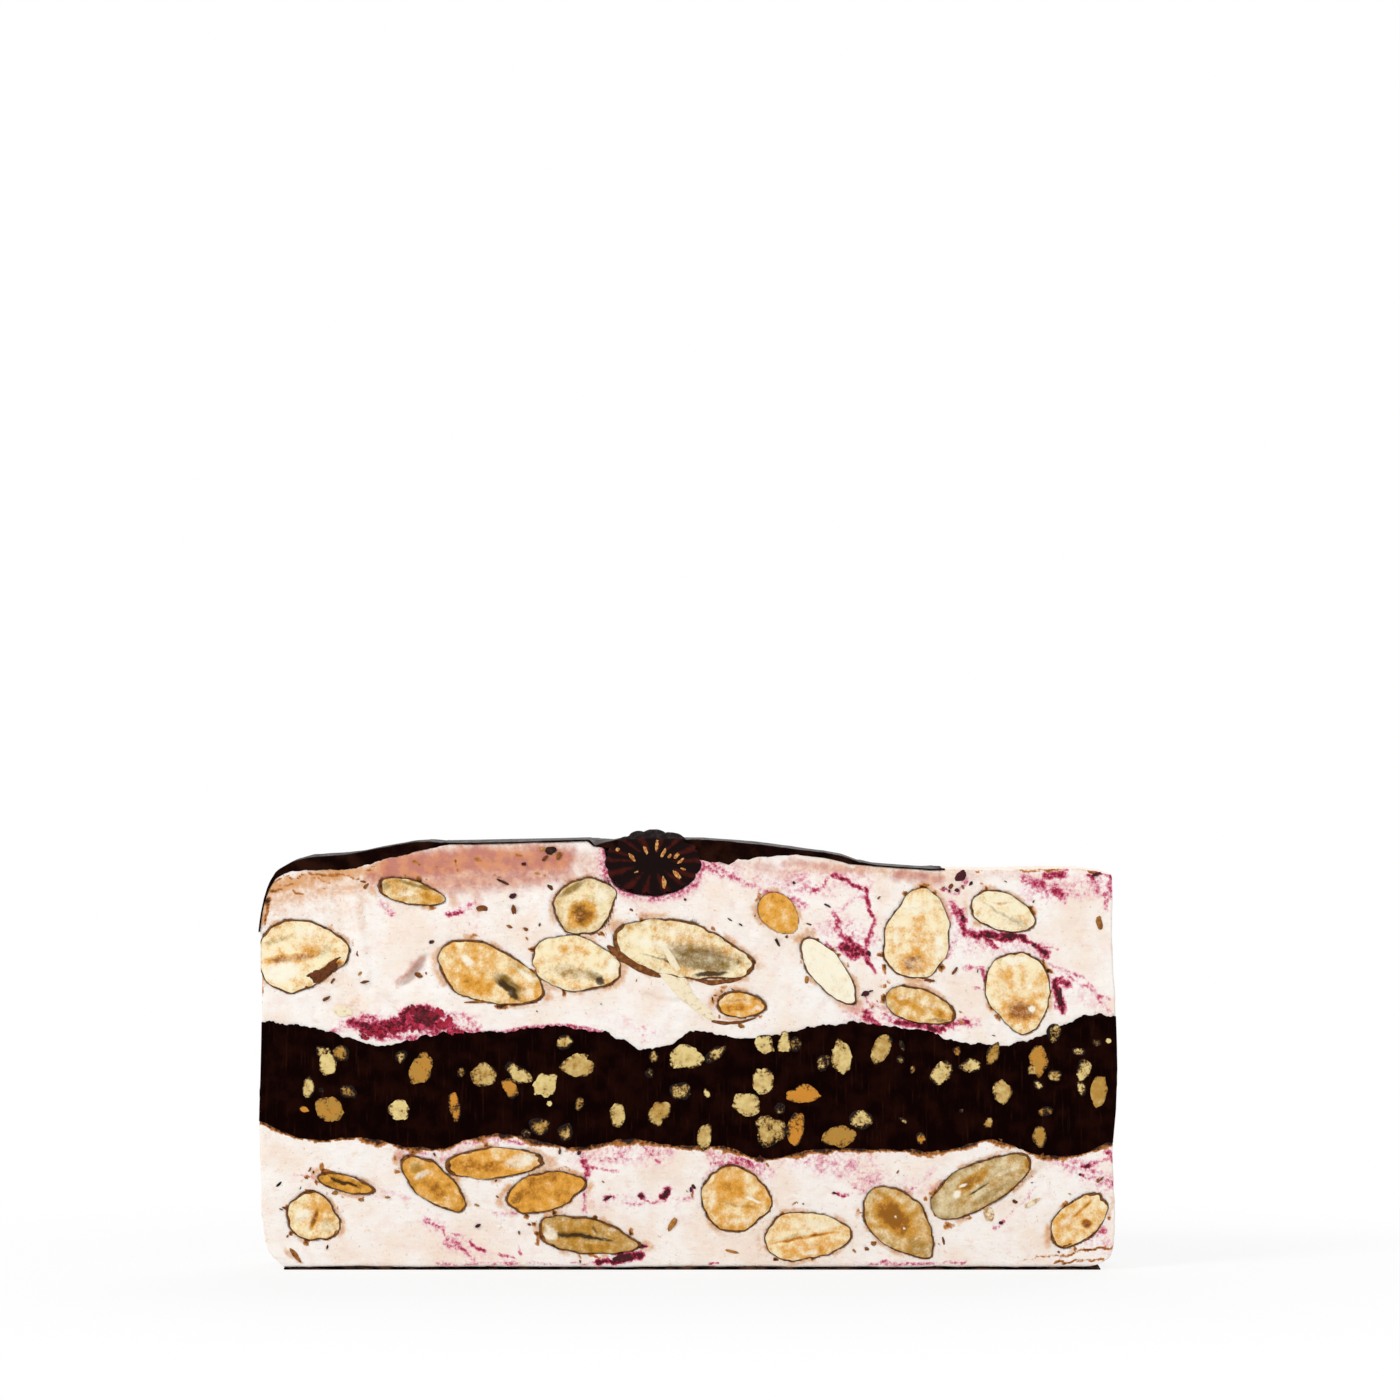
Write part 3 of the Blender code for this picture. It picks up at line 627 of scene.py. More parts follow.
# %% How each almond looks
# skin: width of the skin line; rough: how uneven the outline is; base: toast, pale, olive and painted shade
# all over.
# marks: kind, x and z from the almond's middle, half length, half width, tilt, amount; a dent's is its depth.
# The fourth channel is painted shade: dark marks laid where hollows and open seams fall into shadow.
TOAST, PALE, OLIVE, PAINTED_SHADE, DENT = range(5)
LOOKS = {
    "upper_almond_01": {"skin": 0.26, "rough": 0.03, "base": (0.12, 0.3, 0.05, 0), "marks": (
        (TOAST, -2.6, -0.6, 5.6, 0.9, 6, 0.7), (TOAST, 1.6, 0.8, 2.6, 1.6, 30, 0.45),
        (PALE, -4.0, -3.0, 4.2, 2.0, 10, 0.7), (PAINTED_SHADE, 4.4, -3.6, 3.2, 1.5, 32, 1.1),
        (TOAST, 5.0, -2.8, 3.4, 1.9, 32, 0.9), (DENT, 4.4, -3.6, 3.4, 1.6, 32, 0.8),
        (OLIVE, 3.6, 0.8, 2.6, 1.4, 40, 0.35), (OLIVE, -4.6, 2.6, 3.4, 0.7, 14, 0.4),
        (PALE, 0.6, 4.0, 3.0, 1.4, -10, 0.4))},
    "upper_almond_02": {"skin": 0.26, "rough": 0.05, "base": (0.28, 0.0, 0.3, 0.05), "marks": (
        (PALE, -0.8, -0.1, 2.4, 0.8, -10, 0.6), (OLIVE, -4.6, 1.0, 1.6, 0.8, 0, 0.5),
        (TOAST, 3.8, -1.0, 2.4, 0.8, -20, 0.4), (OLIVE, 1.0, 1.2, 4.0, 0.4, -14, 0.6),
        (DENT, 1.0, 1.2, 4.0, 0.5, -14, 0.25))},
    "upper_almond_03": {"skin": 0.3, "rough": 0.035, "base": (0.12, 0.1, 0.28, 0), "marks": (
        (PAINTED_SHADE, -1.0, -1.6, 1.6, 2.4, 8, 0.5), (TOAST, -0.6, -1.6, 3.0, 2.6, 20, 0.75),
        (PALE, 3.0, 1.6, 2.6, 1.6, 30, 0.55), (OLIVE, -2.4, 2.6, 3.0, 0.7, 30, 0.7),
        (PALE, 2.6, -1.6, 2.0, 0.4, 8, 0.35), (PALE, 2.0, 3.2, 0.4, 1.6, -10, 0.4))},
    "upper_almond_04": {"skin": 0.3, "rough": 0.025, "base": (0.28, 0.06, 0.12, 0), "marks": (
        (PALE, -4.0, 2.6, 1.7, 1.2, -30, 0.75), (TOAST, -2.4, -1.4, 4.0, 2.4, -20, 0.35),
        (PAINTED_SHADE, 3.2, -2.5, 3.6, 0.9, -42, 0.75), (OLIVE, 3.2, -1.4, 3.4, 1.3, -38, 0.6),
        (DENT, 3.4, -1.8, 3.6, 1.4, -38, 0.9), (PALE, 6.2, 0.0, 2.8, 0.7, -40, 0.6),
        (PALE, 6.6, -3.0, 1.4, 1.2, 0, 0.5), (OLIVE, 5.2, 1.2, 3.0, 0.9, -30, 0.35))},
    "upper_almond_05": {"skin": 0.26, "rough": 0.035, "base": (0.16, 0.3, 0.08, 0), "marks": (
        (OLIVE, -0.4, -1.9, 5.2, 1.5, -10, 0.35), (DENT, -0.4, -1.9, 5.0, 1.6, -10, 0.5),
        (PAINTED_SHADE, 3.9, -3.0, 1.2, 0.7, -40, 0.85), (OLIVE, 3.2, -2.2, 1.6, 0.9, -20, 0.6),
        (TOAST, -1.0, 2.4, 4.0, 1.2, -6, 0.2), (PALE, 6.0, -0.6, 1.4, 2.0, 0, 0.5))},
    "upper_almond_06": {"skin": 0.32, "rough": 0.02, "base": (0.1, 0.28, 0.2, 0), "marks": (
        (TOAST, 2.6, 0.4, 7.2, 1.9, -12, 0.4), (OLIVE, 3.0, -0.2, 7.6, 2.0, -12, 0.5),
        (DENT, 3.0, -1.6, 7.4, 2.3, -10, 1.3), (OLIVE, 3.0, -2.4, 6.2, 1.1, -6, 0.6),
        (PAINTED_SHADE, 4.6, -3.9, 3.6, 0.5, 4, 1.1), (PAINTED_SHADE, 9.4, -1.6, 0.4, 1.6, -20, 0.5),
        (PALE, -5.6, 1.4, 5.0, 1.2, -10, 0.4), (PALE, 0.0, 3.2, 7.0, 0.8, -12, 0.35),
        (PAINTED_SHADE, -4.6, -1.2, 4.4, 0.3, -18, 0.6))},
    "upper_almond_07": {"skin": 0.34, "rough": 0.06, "base": (0.4, 0.05, 0.1, 0), "marks": (
        (TOAST, -1.2, -0.4, 2.8, 0.8, 0, 0.5), (PALE, 2.6, -0.5, 1.1, 0.7, 0, 0.6),
        (DENT, -0.6, 0.3, 3.0, 0.8, 0, 0.4), (PAINTED_SHADE, 2.8, 1.0, 1.4, 0.4, -20, 0.5))},
    "upper_almond_08": {"skin": 0.0, "rough": 0.03, "base": (0.5, 0.0, 0.0, 0), "marks": (
        (PALE, -1.6, 1.6, 1.6, 1.0, 0, 0.2),)},
    "upper_almond_09": {"skin": 0.16, "rough": 0.04, "base": (0.05, 0.75, 0.08, 0), "marks": (
        (OLIVE, 1.6, -2.0, 3.6, 0.8, -52, 0.3), (TOAST, 2.6, -5.0, 1.4, 0.7, -50, 0.35),
        (TOAST, -4.4, 5.4, 1.0, 0.8, 0, 0.6))},
    "upper_almond_10": {"skin": 0.2, "rough": 0.02, "base": (0.12, 0.3, 0.0, 0), "marks": (
        (TOAST, -0.6, -5.4, 2.9, 2.2, 0, 0.85), (TOAST, 0.0, -1.0, 1.8, 4.4, 0, 0.3),
        (PALE, -0.6, 4.6, 3.0, 1.8, 0, 0.4), (PALE, 3.6, -2.0, 0.9, 3.0, 10, 0.5),
        (PALE, -3.6, 0.0, 0.8, 3.4, 0, 0.3))},
    "upper_almond_11": {"skin": 0.28, "rough": 0.04, "base": (0.34, 0.1, 0.26, 0), "marks": (
        (TOAST, -2.6, 0.6, 3.4, 0.8, -20, 0.35), (PALE, 1.0, 0.6, 3.0, 0.6, -24, 0.4),
        (PALE, -3.0, 1.6, 1.8, 0.6, 10, 0.4), (PAINTED_SHADE, 3.4, -2.4, 3.0, 0.4, 0, 0.45),
        (TOAST, 3.8, -1.4, 2.0, 0.8, -20, 0.35))},
    "upper_almond_12": {"skin": 0.26, "rough": 0.04, "base": (0.08, 0.45, 0.14, 0), "marks": (
        (OLIVE, -0.4, -0.3, 4.6, 0.35, -30, 0.6), (TOAST, -0.6, 1.6, 2.0, 0.3, 0, 0.7),
        (OLIVE, 2.0, -1.8, 2.6, 1.0, -20, 0.3), (TOAST, 4.2, -1.8, 1.0, 0.7, 0, 0.4))},
    "upper_almond_13": {"skin": 0.22, "rough": 0.025, "base": (0.16, 0.28, 0.0, 0), "marks": (
        (TOAST, 0.4, -3.2, 3.8, 2.6, -10, 0.6), (TOAST, -1.0, 2.0, 2.0, 2.0, 0, 0.2),
        (PALE, 2.4, -2.8, 0.8, 0.7, 0, 1.0), (PALE, 1.9, 1.0, 0.5, 0.5, 0, 0.8),
        (PALE, -0.6, 5.6, 2.6, 0.9, 0, 0.6))},
    "lower_almond_01": {"skin": 0.3, "rough": 0.07, "base": (0.26, 0.2, 0.12, 0), "marks": (
        (PALE, -2.0, 0.4, 2.0, 1.2, 20, 0.6), (TOAST, 0.0, -0.4, 0.5, 2.4, -20, 0.6),
        (DENT, 0.0, -0.4, 0.6, 2.6, -20, 0.5), (OLIVE, 2.4, -1.4, 1.6, 1.6, 0, 0.35),
        (DENT, -2.4, -0.8, 1.8, 0.7, 20, 0.3))},
    "lower_almond_02": {"skin": 0.3, "rough": 0.08, "base": (0.55, 0.0, 0.25, 0.05), "marks": (
        (PAINTED_SHADE, -0.8, 0.3, 3.6, 0.35, -20, 0.9), (PALE, 1.6, 0.7, 2.0, 0.35, -20, 0.7),
        (DENT, -0.8, 0.3, 3.6, 0.5, -20, 0.4))},
    "lower_almond_03": {"skin": 0.26, "rough": 0.045, "base": (0.5, 0.0, 0.2, 0), "marks": (
        (PALE, -2.0, 1.8, 2.0, 0.9, 30, 0.6), (OLIVE, -3.0, 3.0, 1.6, 1.2, 0, 0.5),
        (PALE, 2.2, -2.2, 0.8, 0.3, 0, 0.5), (TOAST, 0.4, -0.8, 3.6, 1.8, -40, 0.3),
        (DENT, -1.6, 1.4, 1.6, 0.6, 20, 0.3))},
    "lower_almond_04": {"skin": 0.24, "rough": 0.06, "base": (0.45, 0.1, 0.04, 0), "marks": (
        (TOAST, -5.6, -0.4, 3.4, 2.2, 0, 0.35), (PALE, 4.6, 0.3, 4.0, 1.6, 10, 0.6),
        (TOAST, -1.0, -0.8, 2.6, 1.2, 0, 0.4), (OLIVE, 6.0, 1.2, 1.6, 0.7, 10, 0.5),
        (DENT, 1.6, -0.6, 3.0, 0.6, -10, 0.35))},
    "lower_almond_05": {"skin": 0.26, "rough": 0.035, "base": (0.62, 0.0, 0.06, 0), "marks": (
        (PAINTED_SHADE, -5.4, -1.6, 1.4, 0.8, 0, 0.5), (TOAST, -4.0, -0.6, 2.6, 1.4, 20, 0.3),
        (PALE, 0.2, 1.4, 1.0, 0.4, 0, 0.35), (PALE, 3.2, 0.0, 1.8, 1.0, 0, 0.15))},
    "lower_almond_06": {"skin": 0.3, "rough": 0.09, "base": (0.4, 0.0, 0.5, 0.05), "marks": (
        (PALE, -6.4, 0.6, 1.8, 1.8, 0, 0.75), (PAINTED_SHADE, -1.4, 0.1, 4.2, 0.5, -6, 0.75),
        (DENT, -1.4, 0.1, 4.4, 0.8, -6, 0.7), (PAINTED_SHADE, 3.0, -0.4, 3.0, 0.4, -12, 0.6),
        (PALE, 4.4, 1.4, 1.0, 0.6, 0, 0.5), (PAINTED_SHADE, 1.4, 1.4, 0.4, 1.4, 30, 0.5),
        (TOAST, 1.6, -1.8, 3.0, 0.9, 0, 0.4), (PAINTED_SHADE, -4.6, 0.6, 1.0, 0.9, 0, 0.4))},
    "lower_almond_07": {"skin": 0.34, "rough": 0.03, "base": (0.36, 0.08, 0.12, 0), "marks": (
        (TOAST, -0.8, 1.8, 2.8, 2.0, 0, 0.35), (PALE, 0.0, -4.0, 4.0, 1.0, 0, 0.3),
        (PALE, 3.0, -0.2, 1.9, 0.5, -24, 0.85), (DENT, 3.0, -0.2, 1.9, 0.5, -24, 0.3),
        (OLIVE, 0.6, -1.2, 4.4, 0.3, -10, 0.4), (PALE, -4.4, 0.4, 0.8, 3.4, 0, 0.3))},
    "lower_almond_08": {"skin": 0.2, "rough": 0.03, "base": (0.26, 0.22, 0.0, 0), "marks": (
        (TOAST, -0.6, -0.3, 6.4, 0.35, 10, 0.75), (DENT, -0.6, -0.3, 6.4, 0.5, 10, 0.3),
        (TOAST, 0.4, -2.2, 5.0, 1.6, 0, 0.2), (PALE, 1.4, 1.8, 5.0, 1.3, 4, 0.35),
        (PALE, 0.8, -2.8, 1.6, 0.5, 0, 0.5), (OLIVE, -2.4, 0.1, 4.0, 0.4, 12, 0.35))},
    "lower_almond_09": {"skin": 0.28, "rough": 0.025, "base": (0.3, 0.0, 0.4, 0), "marks": (
        (TOAST, -1.2, 1.2, 4.6, 2.6, -48, 0.9), (OLIVE, 2.6, -3.6, 2.4, 1.8, -40, 0.3),
        (PALE, -1.0, 1.2, 0.3, 0.3, 0, 1.0), (PALE, 0.4, -0.9, 0.3, 0.3, 0, 1.0),
        (PALE, -4.0, 4.6, 1.2, 1.0, 0, 0.4), (PALE, 2.6, -2.6, 1.2, 0.25, 40, 0.4))},
    "lower_almond_10": {"skin": 0.28, "rough": 0.02, "base": (0.2, 0.1, 0.5, 0), "marks": (
        (TOAST, -1.8, 0.4, 3.6, 1.3, 34, 0.75), (PAINTED_SHADE, -0.4, -0.8, 2.6, 0.25, 32, 0.7),
        (DENT, -0.4, -0.8, 2.8, 0.35, 32, 0.3), (PALE, -4.2, -1.6, 0.7, 0.9, 0, 1.0),
        (PALE, -3.2, -0.2, 0.9, 0.4, 20, 0.9), (PALE, 4.0, 2.0, 3.4, 0.5, 20, 0.4),
        (TOAST, 8.4, 3.6, 1.0, 1.4, 0, 0.5), (OLIVE, 2.0, -1.4, 5.0, 0.8, 30, 0.3))},
    "lower_almond_11": {"skin": 0.32, "rough": 0.06, "base": (0.26, 0.22, 0.04, 0), "marks": (
        (TOAST, 1.2, -0.8, 1.2, 0.9, 0, 0.9), (PAINTED_SHADE, 1.4, -1.0, 0.5, 0.4, 0, 0.5),
        (TOAST, 0.4, 1.6, 3.0, 0.3, 42, 0.4), (DENT, 0.4, 1.6, 3.0, 0.4, 42, 0.3),
        (PALE, -2.4, -0.6, 1.8, 1.0, 40, 0.4))},
}
print(len(LOOKS), "described almonds")


def random_look(seed):
    """A look for an almond that nobody described: a tone, a golden heart off centre, and one open seam
    darkened with painted shade.
    """
    draw = np.random.default_rng(seed)
    heart = draw.uniform(-1.5, 1.5, 2)
    tilt = draw.uniform(-40, 40)
    marks = (
        (TOAST, heart[0], heart[1], draw.uniform(2, 4), draw.uniform(1, 2.4), tilt, draw.uniform(0.2, 0.7)),
        (PAINTED_SHADE, draw.uniform(-1, 1), draw.uniform(-0.8, 0.8), draw.uniform(1.6, 3.6), 0.3, tilt,
         draw.uniform(0, 0.8)),
        (PALE, -heart[0], -heart[1], draw.uniform(1, 3), draw.uniform(0.6, 1.4), tilt,
         draw.uniform(0.3, 0.8)),
        (DENT, draw.uniform(-1, 1), draw.uniform(-0.8, 0.8), draw.uniform(2, 4), 0.8, tilt,
         draw.uniform(0.1, 0.6)),
    )
    tone = (draw.uniform(0.1, 0.5), draw.uniform(0, 0.4), draw.uniform(0, 0.35), 0)
    return {"skin": draw.uniform(0.2, 0.32), "rough": draw.uniform(0.02, 0.06), "base": tone, "marks": marks}


# %% Outlines, shared by an almond and its pocket
TAPER = 0.2  # how much narrower than an oval the pointed end is
for number, (name, almond) in enumerate(almonds.items()):
    almond["look"] = LOOKS.get(name) or random_look(number)
    almond["number"] = number


def unevenness(almond, angle):
    """The outline's radius at each angle as a share of the plain oval's: hills along its edge."""
    long_way, broad_way = almond["long"] * np.cos(angle), almond["broad"] * np.sin(angle)
    edge = flat_points(long_way, broad_way, 10.0 * almond["number"])
    lumps = rough(edge, 5.0, 3, 111) + 0.3 * hills(edge, 1.1, 113)
    return (0.99 + (0.05 + almond["look"]["rough"]) * lumps).reshape(np.shape(angle))


def oval_share(almond, x, z):
    """How far out a point lies: 0 at the almond's centre and 1 on its outline."""
    dx, dz = x - almond["x"], z - almond["z"]
    along = (dx * almond["axis"][0] + dz * almond["axis"][1]) / almond["long"]
    across = (dz * almond["axis"][0] - dx * almond["axis"][1]) / almond["broad"]
    across = across / np.clip(1 - TAPER * np.clip(along, -1, 1), 0.5, 2)
    share = np.atleast_1d(np.hypot(along, across))
    close = share < 2
    share[close] /= unevenness(almond, np.atleast_1d(np.arctan2(across, along))[close])
    return share


# %% [markdown]
# ## Juice, rose, toffee and cocoa on the cut
#
# Freeze-dried berries bleed into the nougat, and the knife drags chocolate and caramel over it. Such a
# stain is a stroke: a run between two points with a width, laid down with wobbling edges. Painting it
# into an attribute keeps it in the mesh, and the material only has to break up its edge.

# %% Strokes on the front face, as x, z, x, z, half width, amount
JUICE = (
    (17.0, 68.5, 31.0, 67.5, 3.0, 0.25), (24.0, 60.0, 32.0, 57.0, 3.6, 0.24),
    (45.0, 62.0, 50.0, 56.0, 2.6, 0.26), (50.0, 57.0, 62.0, 56.0, 2.6, 0.26),
    (60.0, 66.0, 74.0, 67.0, 2.6, 0.32), (64.0, 52.0, 72.0, 46.0, 2.6, 0.2),
    (28.0, 45.0, 37.0, 44.0, 2.6, 0.26), (37.0, 43.0, 50.0, 43.0, 1.6, 0.32),
    (-50.0, 21.0, -36.0, 20.0, 2.2, 0.24), (-19.0, 20.0, -4.0, 20.0, 2.6, 0.28),
    (-18.0, 12.0, -2.0, 12.0, 2.2, 0.18), (4.0, 20.0, 14.0, 17.0, 2.2, 0.28),
    (16.0, 21.0, 33.0, 16.0, 3.6, 0.28), (-45.0, 8.0, -36.0, 2.0, 2.6, 0.22),
    (30.0, 14.0, 44.0, 15.0, 2.2, 0.2), (62.0, 21.0, 74.0, 15.0, 2.6, 0.34),
    (66.0, 8.0, 74.0, 4.0, 2.2, 0.26), (-60.0, 43.0, -38.0, 43.0, 2.2, 0.34),
    (-46.0, 67.0, -37.0, 61.0, 3.0, 0.18), (-14.0, 44.0, -6.0, 41.0, 2.6, 0.16),
    (2.0, 71.0, 14.0, 68.0, 2.2, 0.24), (2.6, 70.2, 4.6, 69.6, 1.5, 0.5),
    (4.7, 69.8, 14.3, 65.6, 1.0, 0.45), (14.3, 65.4, 20.5, 63.4, 1.0, 0.5),
    (16.5, 67.6, 24.0, 66.4, 2.6, 0.3), (21.6, 65.8, 25.4, 69.2, 0.4, 0.65),
    (25.4, 69.2, 31.2, 65.9, 0.45, 0.8), (31.2, 65.9, 32.3, 60.4, 0.5, 0.75),
    (32.3, 60.4, 31.0, 55.2, 0.55, 0.7), (31.0, 55.0, 27.4, 57.8, 0.9, 0.9),
    (27.0, 57.6, 25.4, 61.6, 0.9, 0.65), (25.4, 61.6, 30.6, 65.4, 0.9, 0.3),
    (27.2, 56.2, 29.6, 54.9, 1.2, 0.95), (24.4, 56.4, 27.4, 55.4, 0.6, 0.6),
    (31.0, 55.0, 32.4, 51.6, 0.5, 0.7), (27.4, 60.0, 30.0, 57.4, 1.4, 0.35),
    (59.0, 68.2, 64.0, 66.6, 1.3, 0.6), (63.2, 66.2, 65.6, 65.0, 1.1, 0.7),
    (62.4, 69.0, 66.0, 69.2, 0.7, 0.75), (70.6, 69.4, 73.4, 68.9, 0.7, 0.85),
    (69.8, 68.6, 70.8, 67.4, 0.6, 0.6), (73.4, 68.6, 74.0, 65.0, 0.7, 0.55),
    (72.6, 66.0, 73.0, 63.4, 0.9, 0.55), (46.4, 63.6, 47.8, 59.4, 1.2, 0.62),
    (47.6, 62.6, 48.3, 58.6, 0.8, 0.9), (48.6, 59.4, 50.6, 57.6, 0.9, 0.8),
    (51.0, 58.4, 58.8, 58.0, 0.8, 1.15), (52.4, 57.2, 54.0, 56.2, 0.7, 0.9),
    (57.2, 58.4, 61.0, 56.6, 0.7, 0.9), (60.6, 56.4, 62.8, 54.6, 0.8, 0.85),
    (61.0, 56.0, 64.4, 56.2, 0.3, 0.6), (46.6, 57.6, 45.6, 54.8, 0.5, 0.55),
    (46.8, 66.0, 48.4, 67.8, 0.6, 0.5), (44.6, 66.4, 47.0, 65.4, 0.6, 0.5),
    (48.2, 52.6, 51.4, 52.4, 0.5, 0.5), (50.8, 52.4, 52.4, 50.6, 0.6, 0.7),
    (49.8, 48.8, 52.2, 49.0, 0.4, 0.5), (64.3, 50.4, 65.2, 45.2, 0.8, 1.0),
    (65.2, 50.6, 66.4, 49.0, 0.6, 0.8), (63.0, 53.4, 69.4, 50.6, 0.35, 0.45),
    (66.0, 51.2, 73.4, 46.8, 0.4, 0.45), (70.0, 49.8, 73.6, 44.6, 0.5, 0.4),
    (36.8, 43.4, 44.0, 41.9, 0.7, 1.0), (43.6, 42.2, 48.8, 43.0, 0.6, 0.85),
    (31.0, 44.6, 33.0, 42.6, 0.8, 0.8), (32.2, 46.6, 35.8, 43.4, 0.35, 0.45),
    (30.6, 48.2, 32.0, 45.6, 0.4, 0.45), (-58.4, 43.4, -53.4, 41.2, 1.3, 0.95),
    (-56.8, 44.6, -54.6, 44.0, 0.7, 0.7), (-54.0, 42.0, -46.4, 43.4, 1.9, 1.1),
    (-49.4, 44.6, -45.6, 45.6, 1.2, 1.1), (-46.4, 43.8, -41.6, 42.3, 0.9, 0.95),
    (-44.6, 45.4, -42.4, 44.2, 0.6, 0.6), (-42.4, 44.6, -38.6, 44.2, 0.5, 0.5),
    (-46.0, 41.4, -37.0, 41.6, 1.1, 0.55), (-61.6, 42.0, -58.6, 42.8, 0.6, 0.45),
    (-62.4, 41.6, -60.6, 41.2, 0.5, 0.4), (-53.6, 40.8, -46.0, 40.0, 1.0, 0.6),
    (-42.2, 61.8, -39.6, 62.5, 0.6, 0.9), (-40.0, 62.6, -37.2, 63.9, 0.6, 0.45),
    (-53.0, 64.0, -51.6, 62.0, 0.8, 0.4), (-54.8, 67.0, -53.4, 66.2, 1.0, 0.35),
    (-9.4, 43.0, -7.6, 39.6, 0.5, 0.25), (-8.0, 42.4, -5.8, 41.0, 0.5, 0.3),
    (-48.6, 20.6, -42.0, 19.2, 1.4, 0.3), (-42.0, 21.4, -36.0, 22.9, 0.6, 0.4),
    (-36.0, 22.9, -27.4, 22.0, 0.7, 0.45), (-18.6, 19.8, -17.6, 17.0, 0.7, 0.7),
    (-17.8, 17.0, -17.9, 9.6, 0.5, 0.5), (-17.6, 18.0, -12.0, 17.2, 0.4, 0.55),
    (-15.6, 19.0, -11.0, 20.2, 0.3, 0.5), (-15.0, 21.4, -4.0, 22.0, 1.2, 0.3),
    (-8.4, 21.4, -4.6, 18.6, 0.4, 0.45), (-14.6, 12.2, -13.2, 12.9, 0.45, 0.85),
    (-8.6, 12.9, -7.8, 12.9, 0.45, 0.9), (-4.4, 12.9, -3.2, 13.8, 0.6, 1.0),
    (-7.4, 12.2, -6.8, 12.2, 0.3, 0.8), (0.5, 13.6, 0.5, 14.4, 0.35, 0.75),
    (-10.6, 11.2, -3.6, 12.0, 0.5, 0.45), (-2.0, 12.6, 0.6, 12.4, 0.6, 0.3),
    (4.6, 18.4, 10.6, 18.6, 0.7, 0.7), (7.0, 19.2, 9.6, 19.0, 0.5, 0.65),
    (3.0, 15.6, 4.6, 17.6, 0.6, 0.3), (10.6, 18.2, 13.6, 16.0, 0.6, 0.35),
    (18.6, 21.0, 32.0, 19.4, 2.4, 0.22), (24.0, 17.6, 31.6, 15.0, 1.6, 0.3),
    (25.4, 13.2, 28.0, 13.0, 0.35, 0.6), (26.2, 16.4, 30.8, 13.2, 0.5, 0.35),
    (33.0, 13.6, 36.2, 12.9, 0.4, 0.5), (36.2, 12.9, 39.4, 14.2, 0.35, 0.55),
    (40.0, 15.0, 43.0, 18.0, 0.7, 0.25), (-46.0, 8.9, -41.8, 5.4, 0.5, 0.55),
    (-42.0, 5.2, -39.8, 4.4, 1.0, 0.6), (-40.6, 4.6, -37.2, 1.6, 0.45, 0.5),
    (-41.0, 6.4, -38.8, 5.8, 0.3, 0.5), (-37.8, 4.6, -35.4, 3.4, 0.35, 0.6),
    (-32.6, 2.4, -30.6, 1.6, 0.35, 0.7), (-29.4, 4.2, -29.0, 2.8, 0.35, 0.65),
    (-34.6, 10.0, -30.0, 9.6, 0.9, 0.3), (-16.2, 1.3, -9.6, 1.9, 0.6, 1.1),
    (-12.0, 2.2, -8.6, 2.4, 1.0, 1.2), (-8.4, 4.0, -7.4, 4.2, 0.35, 1.1),
    (60.8, 14.2, 54.6, 8.2, 0.3, 0.4), (54.4, 8.0, 55.0, 8.6, 0.45, 0.85),
    (53.2, 7.2, 54.2, 7.6, 0.4, 0.5), (68.2, 17.6, 74.0, 19.8, 0.7, 0.4),
    (68.0, 16.4, 73.0, 15.6, 0.8, 0.35), (69.2, 18.2, 69.8, 18.0, 0.4, 0.95),
    (68.2, 16.6, 68.6, 16.5, 0.35, 0.9), (73.0, 20.6, 74.8, 18.8, 0.8, 0.75),
    (73.6, 15.4, 74.6, 14.6, 0.6, 0.6), (69.4, 5.4, 72.4, 6.8, 1.0, 0.45),
    (-59.0, 13.0, -53.0, 12.6, 0.7, 0.2), (-68.6, 16.6, -65.0, 16.4, 0.4, 0.3),
    (-53.0, 13.6, -49.0, 12.4, 0.8, 0.25), (4.0, 1.2, 5.2, 1.4, 0.3, 0.7),
    (32.0, 1.0, 48.0, 1.2, 0.45, 0.5), (-44.0, 1.0, -16.0, 1.1, 0.35, 0.4),
)
ROSE = (
    (-54.6, 68.6, -46.0, 71.0, 1.6, 0.75), (-52.0, 70.0, -36.0, 71.6, 3.0, 1.05),
    (-36.0, 71.2, -22.0, 71.4, 3.4, 0.95), (-44.0, 68.0, -26.0, 68.6, 3.0, 0.7),
    (-22.0, 72.0, -15.6, 71.0, 2.0, 0.45), (-37.6, 72.2, -33.4, 72.4, 1.2, 1.0),
    (-37.4, 67.0, -36.4, 62.6, 1.6, 0.5), (-28.0, 69.6, -20.6, 68.6, 1.8, 0.55),
    (-20.0, 72.6, -17.0, 68.4, 1.2, 0.45), (-51.0, 69.4, -49.4, 65.0, 1.4, 0.3),
    (5.0, 71.0, 13.0, 70.2, 1.5, 0.3), (12.0, 70.6, 17.6, 68.6, 1.6, 0.5),
    (17.0, 71.0, 30.0, 69.6, 1.1, 0.55), (30.0, 69.6, 40.0, 68.9, 1.2, 0.3),
    (36.6, 69.0, 44.0, 68.2, 1.5, 0.7), (43.0, 68.0, 58.0, 69.2, 1.3, 0.3),
    (58.0, 69.0, 66.0, 67.0, 1.6, 0.4), (-11.6, 65.6, -7.6, 63.0, 1.0, 0.35),
    (-8.6, 63.4, -7.4, 60.8, 0.9, 0.4), (12.0, 21.0, 13.0, 19.0, 0.8, 0.5),
    # The first stroke of this line lies in the deep hollow under its lip: painted shade that tints the
    # hollow's shadow brownish pink.
    (-46.6, 54.4, -50.2, 49.8, 0.8, 0.6), (-50.0, 12.4, -46.0, 11.0, 1.2, 0.15),
)
